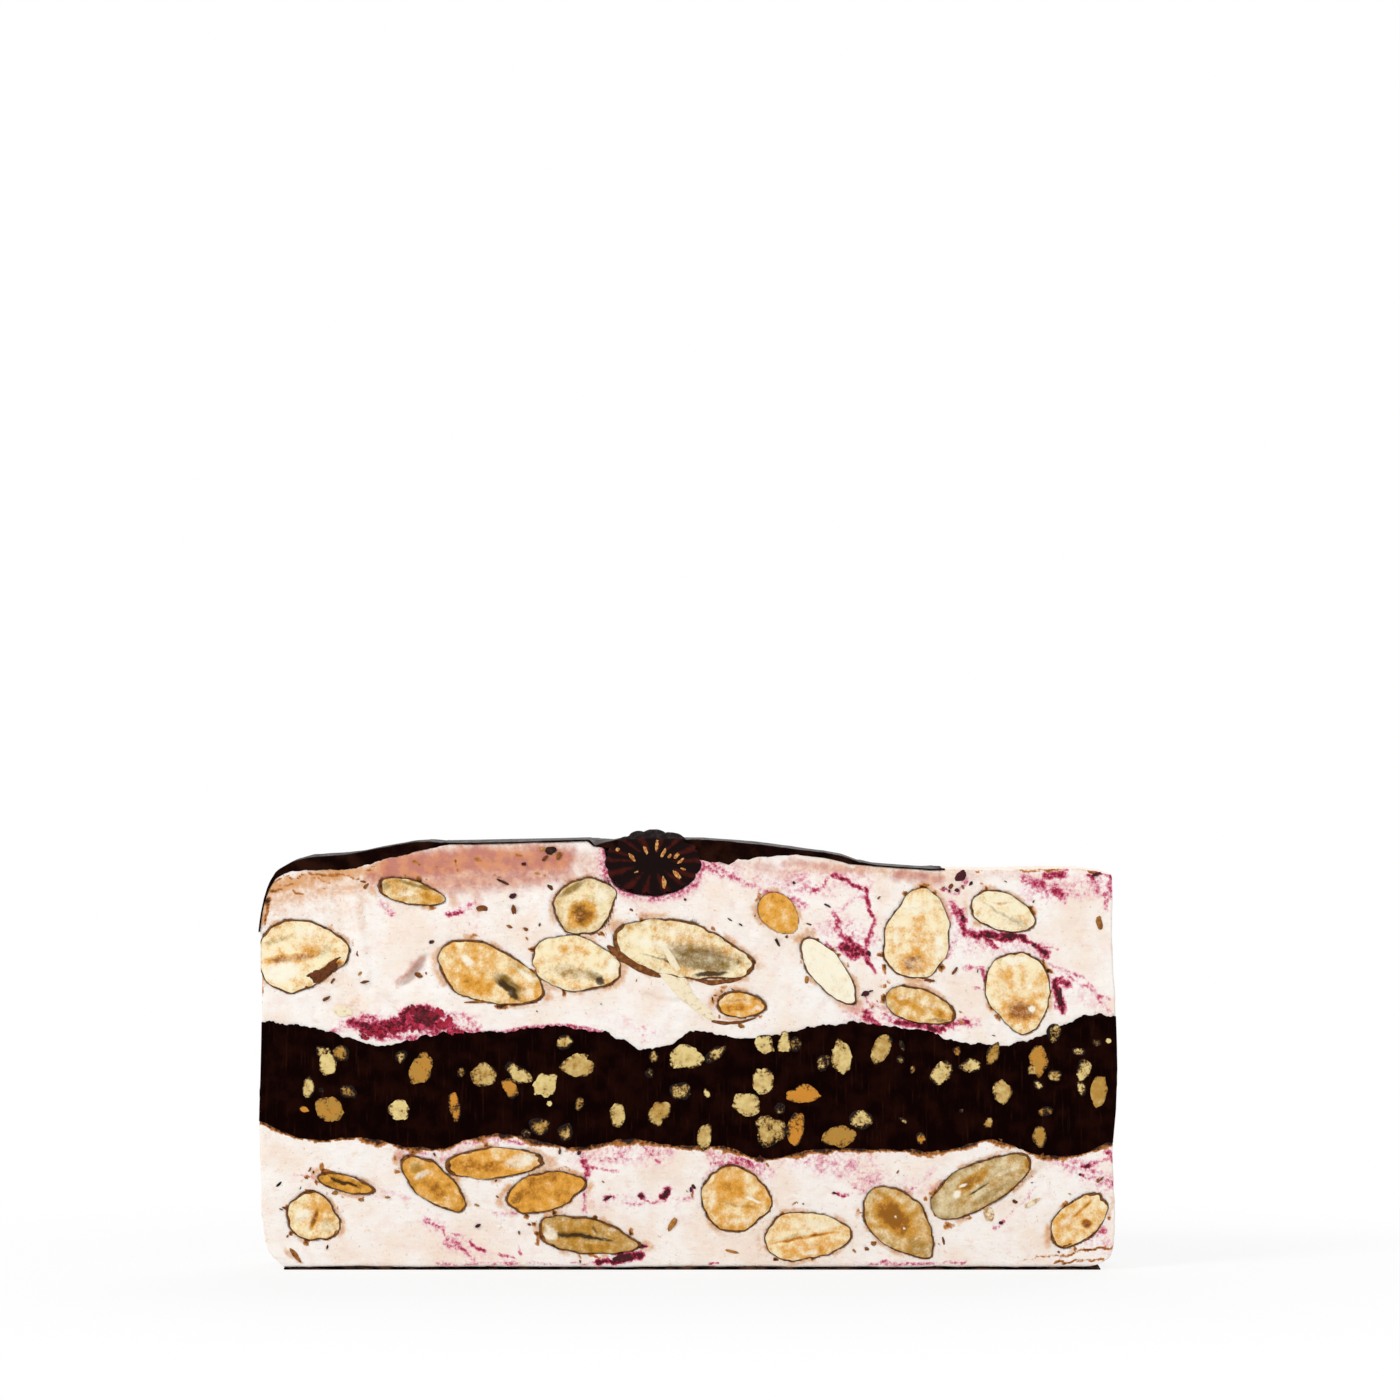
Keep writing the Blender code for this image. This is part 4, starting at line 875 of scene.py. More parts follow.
TOFFEE = (
    (-73.6, 66.4, -60.0, 69.4, 1.8, 0.9), (-60.0, 69.4, -53.0, 70.0, 1.6, 0.8),
    (-73.4, 64.0, -56.0, 67.4, 2.2, 0.55), (-73.8, 62.0, -64.0, 63.6, 2.4, 0.3),
    (-72.0, 61.0, -56.0, 63.0, 5.0, 0.2), (-74.6, 59.8, -73.4, 66.0, 0.9, 0.8),
    (-57.4, 68.0, -57.0, 60.0, 1.4, 0.42), (-60.0, 67.0, -59.4, 62.0, 0.8, 0.2),
    (-25.6, 73.2, -22.0, 71.4, 1.6, 0.6), (-31.0, 68.6, -24.0, 69.0, 2.0, 0.25),
    (17.0, 69.6, 26.0, 69.8, 1.0, 0.45), (26.0, 69.8, 38.0, 69.6, 0.9, 0.5),
    (34.0, 66.4, 36.0, 55.0, 1.6, 0.2), (-58.0, 46.4, -60.4, 45.0, 1.4, 0.35),
    (-61.0, 50.4, -58.0, 48.0, 2.0, 0.15), (9.8, 7.0, 15.4, 8.4, 1.2, 0.3),
    (13.6, 4.2, 15.0, 3.4, 0.7, 0.6), (31.0, 8.2, 33.6, 5.4, 0.8, 0.55),
    (2.8, 22.0, 3.4, 20.4, 0.8, 0.7), (62.0, 21.4, 67.0, 20.6, 1.0, 0.4),
    (-17.6, 16.0, -17.2, 11.0, 0.8, 0.35), (-70.4, 3.6, -67.6, 1.4, 0.6, 0.7),
    (-48.0, 10.6, -30.0, 12.6, 0.6, 0.2), (-4.0, 61.8, 4.0, 60.6, 0.5, 0.12),
    (-14.8, 54.0, -11.6, 50.4, 0.5, 0.25), (50.0, 5.0, 60.0, 4.0, 2.0, 0.1),
    (-25.0, 8.8, -19.0, 9.0, 0.5, 0.35), (44.6, 50.4, 48.6, 49.6, 0.6, 0.3),
    (28.0, 65.6, 33.8, 60.0, 1.0, 0.22), (37.0, 47.8, 44.0, 51.6, 0.4, 0.35),
    (-36.0, 46.9, -27.0, 46.6, 0.45, 0.5),
)


# The first three strokes, along the bottom at the right end, are partly thin dark lines and partly painted
# shadow along the bottom edge.
COCOA = (
    (57.8, 1.9, 66.0, 2.5, 0.15, 0.6), (66.0, 2.5, 74.4, 4.2, 0.2, 0.75),
    (64.0, 1.0, 73.6, 2.0, 0.22, 0.7), (-40.6, 71.6, -40.2, 69.8, 0.2, 0.8),
    (-55.6, 70.0, -54.8, 70.2, 0.2, 0.7), (-53.0, 67.6, -51.6, 67.4, 0.18, 0.7),
    (-48.4, 71.0, -46.8, 70.8, 0.2, 0.6), (-46.4, 68.2, -45.0, 68.0, 0.16, 0.7),
    (-44.6, 70.4, -43.6, 70.2, 0.2, 0.6), (-72.0, 68.0, -66.0, 69.0, 0.22, 0.75),
    (-66.0, 68.8, -60.0, 69.2, 0.2, 0.7), (-72.6, 66.0, -70.6, 66.4, 0.22, 0.75),
    (-71.0, 67.2, -68.4, 67.0, 0.16, 0.6), (-69.0, 66.0, -67.0, 65.6, 0.16, 0.5),
    (-66.4, 68.0, -62.0, 67.6, 0.15, 0.55), (-64.0, 66.4, -62.4, 66.2, 0.16, 0.45),
    (-60.0, 68.6, -57.0, 68.4, 0.18, 0.5), (-34.0, 68.8, -32.2, 68.4, 0.18, 0.6),
    (-30.0, 72.2, -29.0, 72.0, 0.2, 0.6), (-37.6, 71.6, -36.4, 71.2, 0.18, 0.5),
    (-26.4, 69.2, -25.2, 68.6, 0.2, 0.6), (-74.4, 51.0, -74.2, 47.0, 0.25, 0.5),
    (-73.9, 61.0, -73.0, 64.4, 0.3, 0.7), (58.0, 69.6, 66.0, 69.9, 0.2, 0.6),
    (50.4, 69.8, 54.0, 69.8, 0.16, 0.5), (70.0, 69.2, 71.4, 68.6, 0.3, 0.9),
    (12.6, 64.9, 13.4, 64.4, 0.25, 0.5),
)


def stroke_field(x, z, strokes):
    """The strongest stroke at each point: its amount in the middle, falling off evenly to its edge."""
    field = np.zeros(len(x))
    for x0, z0, x1, z1, width, amount in strokes:
        close = (x > min(x0, x1) - 2 * width) & (x < max(x0, x1) + 2 * width)
        px, pz = x[close] - x0, z[close] - z0
        run = np.array((x1 - x0, z1 - z0))
        along = np.clip((px * run[0] + pz * run[1]) / max(run @ run, 1e-6), 0, 1)
        away = np.hypot(px - along * run[0], pz - along * run[1]) / width
        field[close] = np.maximum(field[close], amount * (1 - step(0.1, 1.5, away)))
    return field


print(len(JUICE), "strokes of juice,", len(ROSE), "of rose,", len(TOFFEE), "of toffee")

# %% [markdown]
# ## Soft nougat: whipped egg white and honey, cut with a warm knife
#
# It is matt and creamy, neither dry nor wet, so its grain is faint and low. What gives it life is colour:
# warm cream next to cooler white, faint flecks, and the stains painted above, whose edges this material
# breaks up with fine noise so that they look soaked in and not printed.

# %% Nougat material
nougat, tree, shader = new_material(
    "soft_nougat_whipped", Roughness=0.58, IOR=1.45, Specular_IOR_Level=0.25,
    Subsurface_Weight=0.15, Subsurface_Scale=0.002,
)
shader.inputs["Subsurface Radius"].default_value = (1.0, 0.75, 0.55)
place = places(tree)
tint = add(tree, "ShaderNodeAttribute", {"attribute_name": "tint"}).outputs
parts = add(tree, "ShaderNodeSeparateColor", None, Color=tint["Color"]).outputs
broad = noise(tree, place, 9.0, 3.0)
middle = noise(tree, place, 2.4, 3.0)
fine = noise(tree, place, 0.55, 3.0, 0.6)
drawn = noise(tree, places(tree, (0.35, 1, 1)), 0.8, 3.0, 0.6)
base = mix(tree, ramp(tree, broad, 0.4, 0.68), linear("#fef7f1"), linear("#f9e7d8"))
base = mix(tree, ramp(tree, middle, 0.5, 0.72, 0.0, 0.5), base, linear("#f7e0d8"))
base = mix(tree, ramp(tree, drawn, 0.56, 0.78, 0.0, 0.5), base, linear("#efc9a6"))
base = mix(tree, ramp(tree, fine, 0.62, 0.74, 0.0, 0.55), base, linear("#cfa07c"))
base = mix(tree, ramp(tree, fine, 0.42, 0.3, 0.0, 0.5), base, linear("#fffaf4"))
ragged = sum_up(tree, "ADD", sum_up(tree, "MULTIPLY", fine, 0.9), sum_up(tree, "MULTIPLY", middle, 0.7))
ragged = sum_up(tree, "SUBTRACT", ragged, 0.8)


def soaked(amount, wobble):
    """A stain's amount with its edge broken up: noise counts for most where the stain is weak."""
    swing = sum_up(tree, "MULTIPLY", ragged, sum_up(tree, "MULTIPLY", ramp(tree, amount, 0.0, 0.35), wobble))
    return sum_up(tree, "ADD", amount, swing)


toffee = soaked(parts["Blue"], 0.9)
base = mix(tree, ramp(tree, toffee, 0.05, 1.0, 0.0, 0.95), base, linear("#dc9f64"))
rose = soaked(parts["Green"], 0.5)
blush = mix(tree, ramp(tree, middle, 0.4, 0.6), linear("#da8f66"), linear("#c67a68"))
base = mix(tree, ramp(tree, rose, 0.05, 0.95, 0.0, 0.95), base, blush)
juice = soaked(parts["Red"], 1.15)
juice = sum_up(tree, "MULTIPLY", juice, ramp(tree, fine, 0.36, 0.58, 0.84, 1.06))
deep = add(tree, "ShaderNodeValToRGB", None, Fac=juice)
deep.color_ramp.elements[0].position = 0.2
deep.color_ramp.elements[0].color = linear("#efb9c8")
deep.color_ramp.elements[1].position = 1.0
deep.color_ramp.elements[1].color = linear("#4c0616")
for position, code in ((0.5, "#d87a94"), (0.74, "#ae2a4c"), (0.9, "#8a122a")):
    deep.color_ramp.elements.new(position).color = linear(code)
base = mix(tree, ramp(tree, juice, 0.05, 0.62), base, deep.outputs["Color"])
cocoa = soaked(tint["Alpha"], 1.4)
browned = mix(tree, ramp(tree, cocoa, 0.45, 0.95), linear("#c07a38"), linear("#2a0f08"))
base = mix(tree, ramp(tree, cocoa, 0.08, 0.45), base, browned)
tree.links.new(base, shader.inputs["Base Color"])
grain = sum_up(tree, "ADD", sum_up(tree, "MULTIPLY", noise(tree, place, 0.4, 3.0), 0.6), drawn)
bump(tree, shader, grain, 0.24, 0.75)


# %% [markdown]
# ## The two nougat layers
#
# The knife leaves a face that is nearly flat: low swells, drawn-out tears, small pores, and a hollow with a
# sharp upper lip wherever a bit was pulled out. Each almond sits in a pocket of its own shape. All of this
# is one height over x and z, added to the front and back faces, and plain hills on the other sides.

# %% Relief of a cut face
SETBACK = 0.34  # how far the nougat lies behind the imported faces, so that its relief stays inside them
POCKET_ROOM = 0.35  # how much deeper a pocket is than its almond
# Hollows in the front face: x, z of the lip's ends, width below the lip, depth.
HOLLOWS = (
    (-45.6, 55.4, -50.6, 49.6, 2.4, 1.6), (-8.8, 47.6, 0.6, 45.6, 1.5, 0.55),
    (-58.0, 50.2, -52.4, 47.6, 1.8, 0.4), (-53.6, 47.8, -49.8, 44.6, 1.4, 0.5),
    (14.6, 58.6, 17.2, 55.6, 0.8, 0.4), (46.8, 63.2, 48.2, 59.6, 1.0, 0.5),
    (-30.6, 66.8, -26.6, 64.6, 1.2, 0.5), (-34.0, 63.4, -28.6, 62.6, 1.0, 0.35),
    (63.6, 20.0, 56.4, 13.0, 0.6, 0.4), (26.0, 49.0, 33.0, 43.6, 1.2, 0.3),
    (-18.0, 16.6, -17.8, 10.0, 0.7, 0.4), (60.0, 54.4, 66.0, 51.0, 0.8, 0.25),
)
# Long soft ridges where the knife smeared the nougat: x, z, x, z, half width, height.
SMEARS = (
    (-58.6, 69.0, -56.2, 50.0, 1.0, 0.3), (-61.0, 68.0, -59.6, 52.0, 0.8, -0.2),
    (5.6, 69.6, 12.0, 55.0, 0.5, -0.22), (7.4, 69.0, 14.0, 57.0, 0.9, 0.18),
    (62.2, 20.6, 56.0, 13.4, 0.5, 0.3), (-44.0, 48.0, -30.0, 45.6, 1.0, 0.12),
    (14.0, 50.6, 28.0, 46.0, 0.7, 0.12), (-56.6, 46.6, -53.0, 44.2, 1.6, 0.35),
    (60.0, 46.0, 73.0, 50.0, 0.8, 0.12),
)


def cut_relief(x, z, y_seed):
    """Height of a cut face in mm: swells, slanting drawn tears and pores."""
    places_here = flat_points(x, z, y_seed)
    drawn_out = places_here @ np.array([[0.5, 0, 0.35], [0, 1, 0], [-0.25, 0, 1.1]])
    height = 0.10 * hills(places_here, 7.0, 3) + 0.05 * rough(places_here, 2.2, 3, 5)
    height += 0.05 * rough(drawn_out, 1.3, 3, 9)
    pores = hills(places_here, 1.0, 21) * hills(places_here, 3.1, 22)
    return height - 0.16 * step(0.30, 0.62, pores)


def front_features(x, z):
    """Hollows and smears of the front face. A hollow is deepest under its lip and runs out away from it."""
    height = np.zeros(len(x))
    wobble = 0.35 * rough(flat_points(x, z), 1.4, 3, 31)
    for x0, z0, x1, z1, width, deep_by in HOLLOWS:
        run = np.array((x1 - x0, z1 - z0))
        size = np.hypot(*run)
        run = run / size
        along = (x - x0) * run[0] + (z - z0) * run[1]
        below = (x - x0) * -run[1] + (z - z0) * run[0] + wobble
        inside = np.clip(1 - np.abs(2 * along / size - 1) ** 3, 0, 1)
        fall = step(-0.12, 0.18, below) * (1 - step(0.2, width, below))
        height -= deep_by * inside * fall
    for x0, z0, x1, z1, width, rise in SMEARS:
        height += rise * stroke_field(x + wobble, z, ((x0, z0, x1, z1, width, 1.0),))
    return height


def pocket_depth(x, z, facing):
    """How deep the pockets of one face are at each point, and a low lip round each."""
    depth = np.zeros(len(x))
    for almond in almonds.values():
        if almond["facing"] != facing:
            continue
        share = oval_share(almond, x, z)
        bowl = (almond["reach"] + POCKET_ROOM) * np.sqrt(np.clip(1 - share**2, 0, 1)) + 0.35
        depth = np.maximum(depth, np.where(share < 1.0, bowl, 0))
        lip = np.exp(-(((share - 1.06) * almond["broad"] / 0.5) ** 2))
        depth = np.where(share >= 1.0, depth + 0.10 * lip * hills(flat_points(x, z), 2.0, 41), depth)
    return depth


def berry_share(x, z, y):
    """How far out a point lies from the berry's middle, where 1 is its skin."""
    middle = np.array(((berry_box[0][0] + berry_box[1][0]) / 2, LOW[1], BERRY_MIDDLE_Z))
    half = (berry_box[1] - berry_box[0]) / 2
    shares = ((x - middle[0]) / half[0], (y - middle[1]) / BERRY_REACH, (z - middle[2]) / half[2])
    return np.sqrt(sum(share**2 for share in shares))


BERRY_REACH = berry_box[1][1] - berry_box[0][1]
BERRY_MIDDLE_Z = (berry_box[0][2] + berry_box[1][2]) / 2


# %% Colours of the nougat
def almond_crust(x, z, facing):
    """1 just outside the almonds of one face and 0 further off, where bits of skin and oil stay behind."""
    crust = np.zeros(len(x))
    for almond in almonds.values():
        if almond["facing"] == facing:
            beyond = (oval_share(almond, x, z) - 1) * almond["broad"]
            crust = np.maximum(crust, np.exp(-(((beyond - 0.35) / 0.55) ** 2)))
    return crust


def back_strokes(seed, count, low, high, width, amount):
    """Random strokes for the face that nobody described: short runs that lean the way the knife went."""
    draw = np.random.default_rng(seed)
    x = draw.uniform(LOW[0] + 4, HIGH[0] - 4, count)
    z = draw.uniform(low, high, count)
    lean = draw.uniform(-0.8, 0.8, count)
    size = draw.uniform(1.0, 7.0, count)
    thick = width * draw.uniform(0.5, 1.6, count)
    strength = amount * draw.uniform(0.5, 1.1, count)
    ends = x + size * np.cos(lean), z + size * np.sin(lean)
    return np.column_stack((x, z, *ends, thick, strength))


BACK_JUICE = np.vstack((back_strokes(4, 34, 44, 69, 0.6, 0.85), back_strokes(5, 26, 3, 19, 0.5, 0.7)))
BACK_ROSE = np.vstack((back_strokes(6, 16, 66, 71, 2.2, 0.7), back_strokes(7, 5, 40, 60, 1.6, 0.3)))
BACK_TOFFEE = np.vstack((back_strokes(8, 14, 64, 70, 1.6, 0.6), back_strokes(9, 8, 4, 20, 1.2, 0.4)))
FRINGE = 0.65  # how far cocoa butter creeps from the chocolate into the nougat


def nougat_tint(x, y, z, face):
    """Juice, rose, toffee and cocoa at every point; face is -1 in front, 1 behind, 0 on the other sides."""
    warp = flat_points(x, z)
    wx = x + 0.45 * rough(warp, 1.8, 3, 51)
    wz = z + 0.45 * rough(warp, 1.8, 3, 57)
    in_front = step(0.0, 1.0, -face)
    behind = step(0.0, 1.0, face)
    front_fields = [stroke_field(wx, wz, strokes) for strokes in (JUICE, ROSE, TOFFEE)]
    back_fields = [stroke_field(wx, wz, strokes) for strokes in (BACK_JUICE, BACK_ROSE, BACK_TOFFEE)]
    juice, rose, toffee = [f * in_front + b * behind for f, b in zip(front_fields, back_fields)]
    flecks = stroke_field(wx, wz, COCOA) * in_front
    halo = berry_share(x, z, y)
    juice = np.maximum(juice, 0.5 * step(1.38, 1.0, halo))
    rose = np.maximum(rose, 0.35 * step(1.75, 1.05, halo))
    under_coat = nougat_roof(x, y) - z
    for facing, seen in ((-1, in_front), (1, behind)):
        crust = almond_crust(x, z, facing)
        toffee = np.maximum(toffee, 0.75 * crust * step(-0.15, 0.5, hills(warp, 2.4, 65)) * seen)
        grains = step(0.3, 0.6, hills(warp, 0.9, 67)) * step(0.0, 0.4, hills(warp, 3.0, 68))
        flecks = np.maximum(flecks, 0.9 * crust * grains * seen)
    sides = 1 - in_front - behind
    # Tan on the faces other than front and back near the left end, within 1.2 mm under the coat, and within
    # 0.7 mm of both ends; at the ends it draws a thin tan line along the silhouette.
    toffee = np.maximum(toffee, sides * 0.3 * step(-1, 1, hills(warp, 9.0, 61)) * (x < LOW[0] + 3))
    toffee = np.maximum(toffee, 0.35 * step(1.2, 0.1, under_coat))
    near_end = np.minimum(x - left_end(z), right_end(z) - x)
    toffee = np.maximum(toffee, 0.22 * step(0.7, 0.1, near_end))
    down = choc_floor(x, y) - z
    uneven = 1 + 0.8 * rough(warp, 2.0, 3, 63)
    cocoa = 0.85 * step(FRINGE * 1.6, FRINGE * 0.3, down / np.clip(uneven, 0.3, 3)) * (down > -3)
    cocoa = np.maximum(cocoa, flecks)
    up = z - choc_roof(x, y)
    purple = step(-44, -40, x) * step(-12, -16, x) * 0.55 * step(1.0, 0.3, up)
    juice = np.maximum(juice, np.where(up > -2, purple * in_front, 0))
    return np.column_stack((juice, rose, toffee, cocoa))


# %% Both nougat layers
NOUGAT_PITCH = 0.34
TUCK = 0.9  # how far a layer runs on behind its neighbour's edge


def add_nougat(name, floor, roof, rows, backs, nodes):
    """One nougat layer: the loft, its relief, its pockets and its stains."""
    plan = loop_plan(front_rows=rows, deep_rows=16, back_rows=backs)
    front, back = FRONT + SETBACK, HIGH[1] - SETBACK
    rings, outs = layer_stack(floor, roof, plan, NOUGAT_PITCH, 0.55, front, back)
    points, faces = closed_stack(np.concatenate((rings, outs), axis=-1))
    outs, points = points[:, 3:], points[:, :3]
    x, y, z = points.T
    face = outs[:, 1]
    in_front, behind = np.clip(-face, 0, 1), np.clip(face, 0, 1)
    sides = 1 - in_front - behind
    height = cut_relief(x, z, 0.0) * in_front + cut_relief(x, z, 40.0) * behind
    height += (0.16 * rough(points, 4.0, 3, 71) - 0.16) * sides
    height += front_features(x, z) * in_front
    depth = pocket_depth(x, z, -1) * (face < -0.5) + pocket_depth(x, z, 1) * (face > 0.5)
    depth = np.minimum(depth, DEPTH / 2 - 3)
    colours = nougat_tint(x, y, z, face)
    points = points + outs * height[:, None]
    points[:, 1] += depth * np.where(face < 0, 1, -1)
    return add_piece(name, points, outward(points, faces), [nougat], "nougat", nodes, colours)


def upper_roof(x, y):
    """The nougat's roof, lowered where the berry has sunk into it."""
    middle = (berry_box[0][0] + berry_box[1][0]) / 2
    half = (berry_box[1][0] - berry_box[0][0]) / 2 + 0.2
    under = np.clip(1 - ((x - middle) / half) ** 2 - ((y - LOW[1]) / (BERRY_REACH + 0.2)) ** 2, 0, 1)
    bowl = BERRY_MIDDLE_Z - (berry_box[1][2] - berry_box[0][2]) / 2 * np.sqrt(under)
    sunk = step(0.0, 0.4, under)
    return nougat_roof(x, y) * (1 - sunk) + np.minimum(nougat_roof(x, y), bowl) * sunk


NOUGAT_FLOOR = 0.35  # the lower nougat stands on the base film
add_nougat(
    "upper_nougat_cut", lambda x, y: choc_roof(x, y) - TUCK, upper_roof, 92, 48, ("upper_nougat",)
)
add_nougat(
    "lower_nougat_cut", lambda x, y: NOUGAT_FLOOR + 0 * x, lambda x, y: choc_floor(x, y) + TUCK, 72, 36,
    ("lower_nougat",),
)

# %% [markdown]
# ## Dark chocolate
#
# Tempered chocolate breaks to a satin surface and, cut by a knife, shows faint upright streaks. It is so
# dark that only its gloss has any shape, so its roughness is uneven and its streaks live in the bump.

# %% Chocolate materials
def chocolate_material(name, roughness, streaks, shine, lightest):
    """Near-black brown with a soft uneven gloss; streaks is how strong the knife's marks are."""
    made, tree, shader = new_material(
        name, IOR=1.46, Specular_IOR_Level=shine, Specular_Tint=linear("#a87058")
    )
    place = places(tree)
    cloud = noise(tree, place, 3.0, 3.0)
    streak = noise(tree, places(tree, (1, 1, 0.08)), 0.45, 3.0, 0.6)
    colour = mix(tree, ramp(tree, cloud, 0.4, 0.7), linear("#0b0202"), linear(lightest))
    colour = mix(tree, ramp(tree, streak, 0.55, 0.8, 0.0, streaks), colour, linear("#33180f"))
    tree.links.new(colour, shader.inputs["Base Color"])
    gloss = ramp(tree, noise(tree, place, 1.6, 4.0), 0.3, 0.7, roughness - 0.08, roughness + 0.12)
    tree.links.new(gloss, shader.inputs["Roughness"])
    height = sum_up(tree, "ADD", sum_up(tree, "MULTIPLY", streak, streaks), noise(tree, place, 0.8, 3.0))
    bump(tree, shader, height, 0.08, 0.6)
    return made


cut_chocolate = chocolate_material("dark_chocolate_knife_cut", 0.55, 0.7, 0.05, "#1b0805")
coat_chocolate = chocolate_material("dark_chocolate_poured_satin", 0.55, 0.1, 0.12, "#27120b")
smear_chocolate = chocolate_material("dark_chocolate_smeared_thin", 0.6, 0.7, 0.05, "#5e3a26")


# %% The chocolate layer
FILM = 0.14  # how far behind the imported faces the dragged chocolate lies


def jagged(x, y, seed, size=1.6, height=0.34):
    """A crumbly edge line: rough hills along x, alike for points at one depth."""
    flat = np.column_stack((x.ravel(), np.round(y.ravel() / 4) * 9, 0 * x.ravel()))
    return (height * rough(flat, size, 4, seed, 0.62)).reshape(x.shape)


plan = loop_plan(front_rows=64, deep_rows=10, back_rows=40)
rings, outs = layer_stack(
    lambda x, y: choc_floor(x, y) - 0.05 + jagged(x, y, 83, 2.2, 0.22),
    lambda x, y: choc_roof(x, y) + 0.2 + jagged(x, y, 87),
    plan, 0.3, 0.16, FRONT + FILM, HIGH[1] - FILM,
)
points, faces = closed_stack(np.concatenate((rings, outs), axis=-1))
outs, points = points[:, 3:], points[:, :3]
swell = 0.04 * rough(points * (1, 1, 0.4), 3.0, 4, 91) - 0.02
points = points + outs * swell[:, None]
ends_only = np.abs(outs[:, :1]) > 0.9
points = points - outs * ends_only * (0.12 + 0.1 * rough(points, 2.4, 3, 92)[:, None])
faces = outward(points, faces)
add_piece("chocolate_filling", points, faces, [cut_chocolate], "chocolate", ("chocolate_layer",))

# %% The poured coat
plan = loop_plan(front_rows=12, deep_rows=70, back_rows=10)
ragged_end = coat_box[1][0] - 0.2
RAGGED_FROM = 30.0  # from here on the coat's edge is drawn in by an uneven amount


def coat_top(x, y):
    """The coat's roof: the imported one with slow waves, thinned towards its ragged right end."""
    flat = np.column_stack((x.ravel(), y.ravel(), 0 * x.ravel()))
    waves = (0.12 * rough(flat, 6.0, 3, 95)).reshape(x.shape) - 0.12
    return np.maximum(coat_roof(x, y) + waves, nougat_roof(x, y) + 0.1)


def coat_underside(x, y):
    """The coat's floor, crumbly where the coat is thick."""
    return coat_floor(x, y) + jagged(x, y, 97, 2.0, 0.16) * np.interp(x, cut_x, cut_thick) / 2


rings, outs = layer_stack(
    coat_underside, coat_top, plan, 0.32, 0.3,
    FRONT + FILM, HIGH[1] - FILM, start=LOW[0] + 0.05, end=ragged_end,
)
points, faces = closed_stack(np.concatenate((rings, outs), axis=-1))
outs, points = points[:, 3:], points[:, :3]
in_front = np.clip(-outs[:, 1], 0, 1)
points = points - outs * (in_front * (0.05 + 0.05 * rough(points, 1.5, 3, 99)))[:, None]
to_end = np.clip((points[:, 0] - RAGGED_FROM) / (ragged_end - RAGGED_FROM), 0, 1)
points[:, 0] -= to_end * (1.6 + 1.6 * rough(points * (0, 1, 0), 5.0, 4, 101, 0.6)).clip(0, 6)
faces = outward(points, faces)
add_piece("chocolate_coat_poured", points, faces, [coat_chocolate], "chocolate_coat", ("top_coat",))

# %% The base film
plan = loop_plan(front_rows=6, deep_rows=24, back_rows=6)
base_box = [np.array(corner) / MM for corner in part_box("base_coat")]
rings, outs = layer_stack(
    lambda x, y: 0.0 * x, lambda x, y: 0.3 + jagged(x, y, 103, 7.0, 0.25).clip(-0.22, 0.5), plan,
    0.4, 0.08, FRONT + FILM, HIGH[1] - FILM, start=base_box[0][0], end=base_box[1][0],
)
points, faces = closed_stack(rings)
faces = outward(points, faces)
add_piece("chocolate_base_film", points, faces, [smear_chocolate], "chocolate_coat", ("base_coat",))

# %% [markdown]
# ## Almonds, cut through
#
# A cut almond shows cream flesh, deeper gold where it was roasted through, and a thin brown skin like a wavy
# pencil line. Where the seam between its halves opens, and in its dents, painted shade darkens it. Each is
# made
# in its own oval frame as rings: face, skin band, round rim and hidden back. Marks lay the colours, the
# painted shade and the dents of each one on it.

# %% Almond materials
flesh, tree, shader = new_material(
    "roasted_almond_flesh", Roughness=0.5, IOR=1.47, Specular_IOR_Level=0.15,
    Subsurface_Weight=0.12, Subsurface_Scale=0.0015,
)
place = places(tree)
tint = add(tree, "ShaderNodeAttribute", {"attribute_name": "tint"}).outputs
parts = add(tree, "ShaderNodeSeparateColor", None, Color=tint["Color"]).outputs
cloud = noise(tree, place, 1.6, 4.0, 0.6)
fibre = noise(tree, place, 0.35, 3.0, 0.6)
swing = sum_up(tree, "MULTIPLY", sum_up(tree, "SUBTRACT", cloud, 0.5), 1.1)
swing = sum_up(tree, "ADD", swing, sum_up(tree, "MULTIPLY", sum_up(tree, "SUBTRACT", fibre, 0.5), 0.5))
toast = sum_up(tree, "ADD", parts["Red"], swing)
colour = mix(tree, ramp(tree, toast, 0.0, 0.55), linear("#feecc0"), linear("#e8a741"))
colour = mix(tree, ramp(tree, toast, 0.48, 1.0), colour, linear("#9a5608"))
olive = sum_up(tree, "ADD", parts["Blue"], sum_up(tree, "MULTIPLY", swing, 0.6))
colour = mix(tree, ramp(tree, olive, 0.05, 1.0, 0.0, 0.92), colour, linear("#8f702a"))
pale = sum_up(tree, "SUBTRACT", parts["Green"], sum_up(tree, "MULTIPLY", swing, 0.8))
colour = mix(tree, ramp(tree, pale, 0.1, 0.95, 0.0, 0.95), colour, linear("#fff8e4"))
# Painted shade: the alpha channel darkens hollows, open seams and dents towards dark brown.
shade_amount = sum_up(tree, "ADD", tint["Alpha"], sum_up(tree, "MULTIPLY", swing, 0.8))
colour = mix(tree, ramp(tree, shade_amount, 0.12, 0.9, 0.0, 0.95), colour, linear("#3d2812"))
tree.links.new(colour, shader.inputs["Base Color"])
bump(tree, shader, sum_up(tree, "ADD", cloud, sum_up(tree, "MULTIPLY", fibre, 0.5)), 0.26, 0.7)

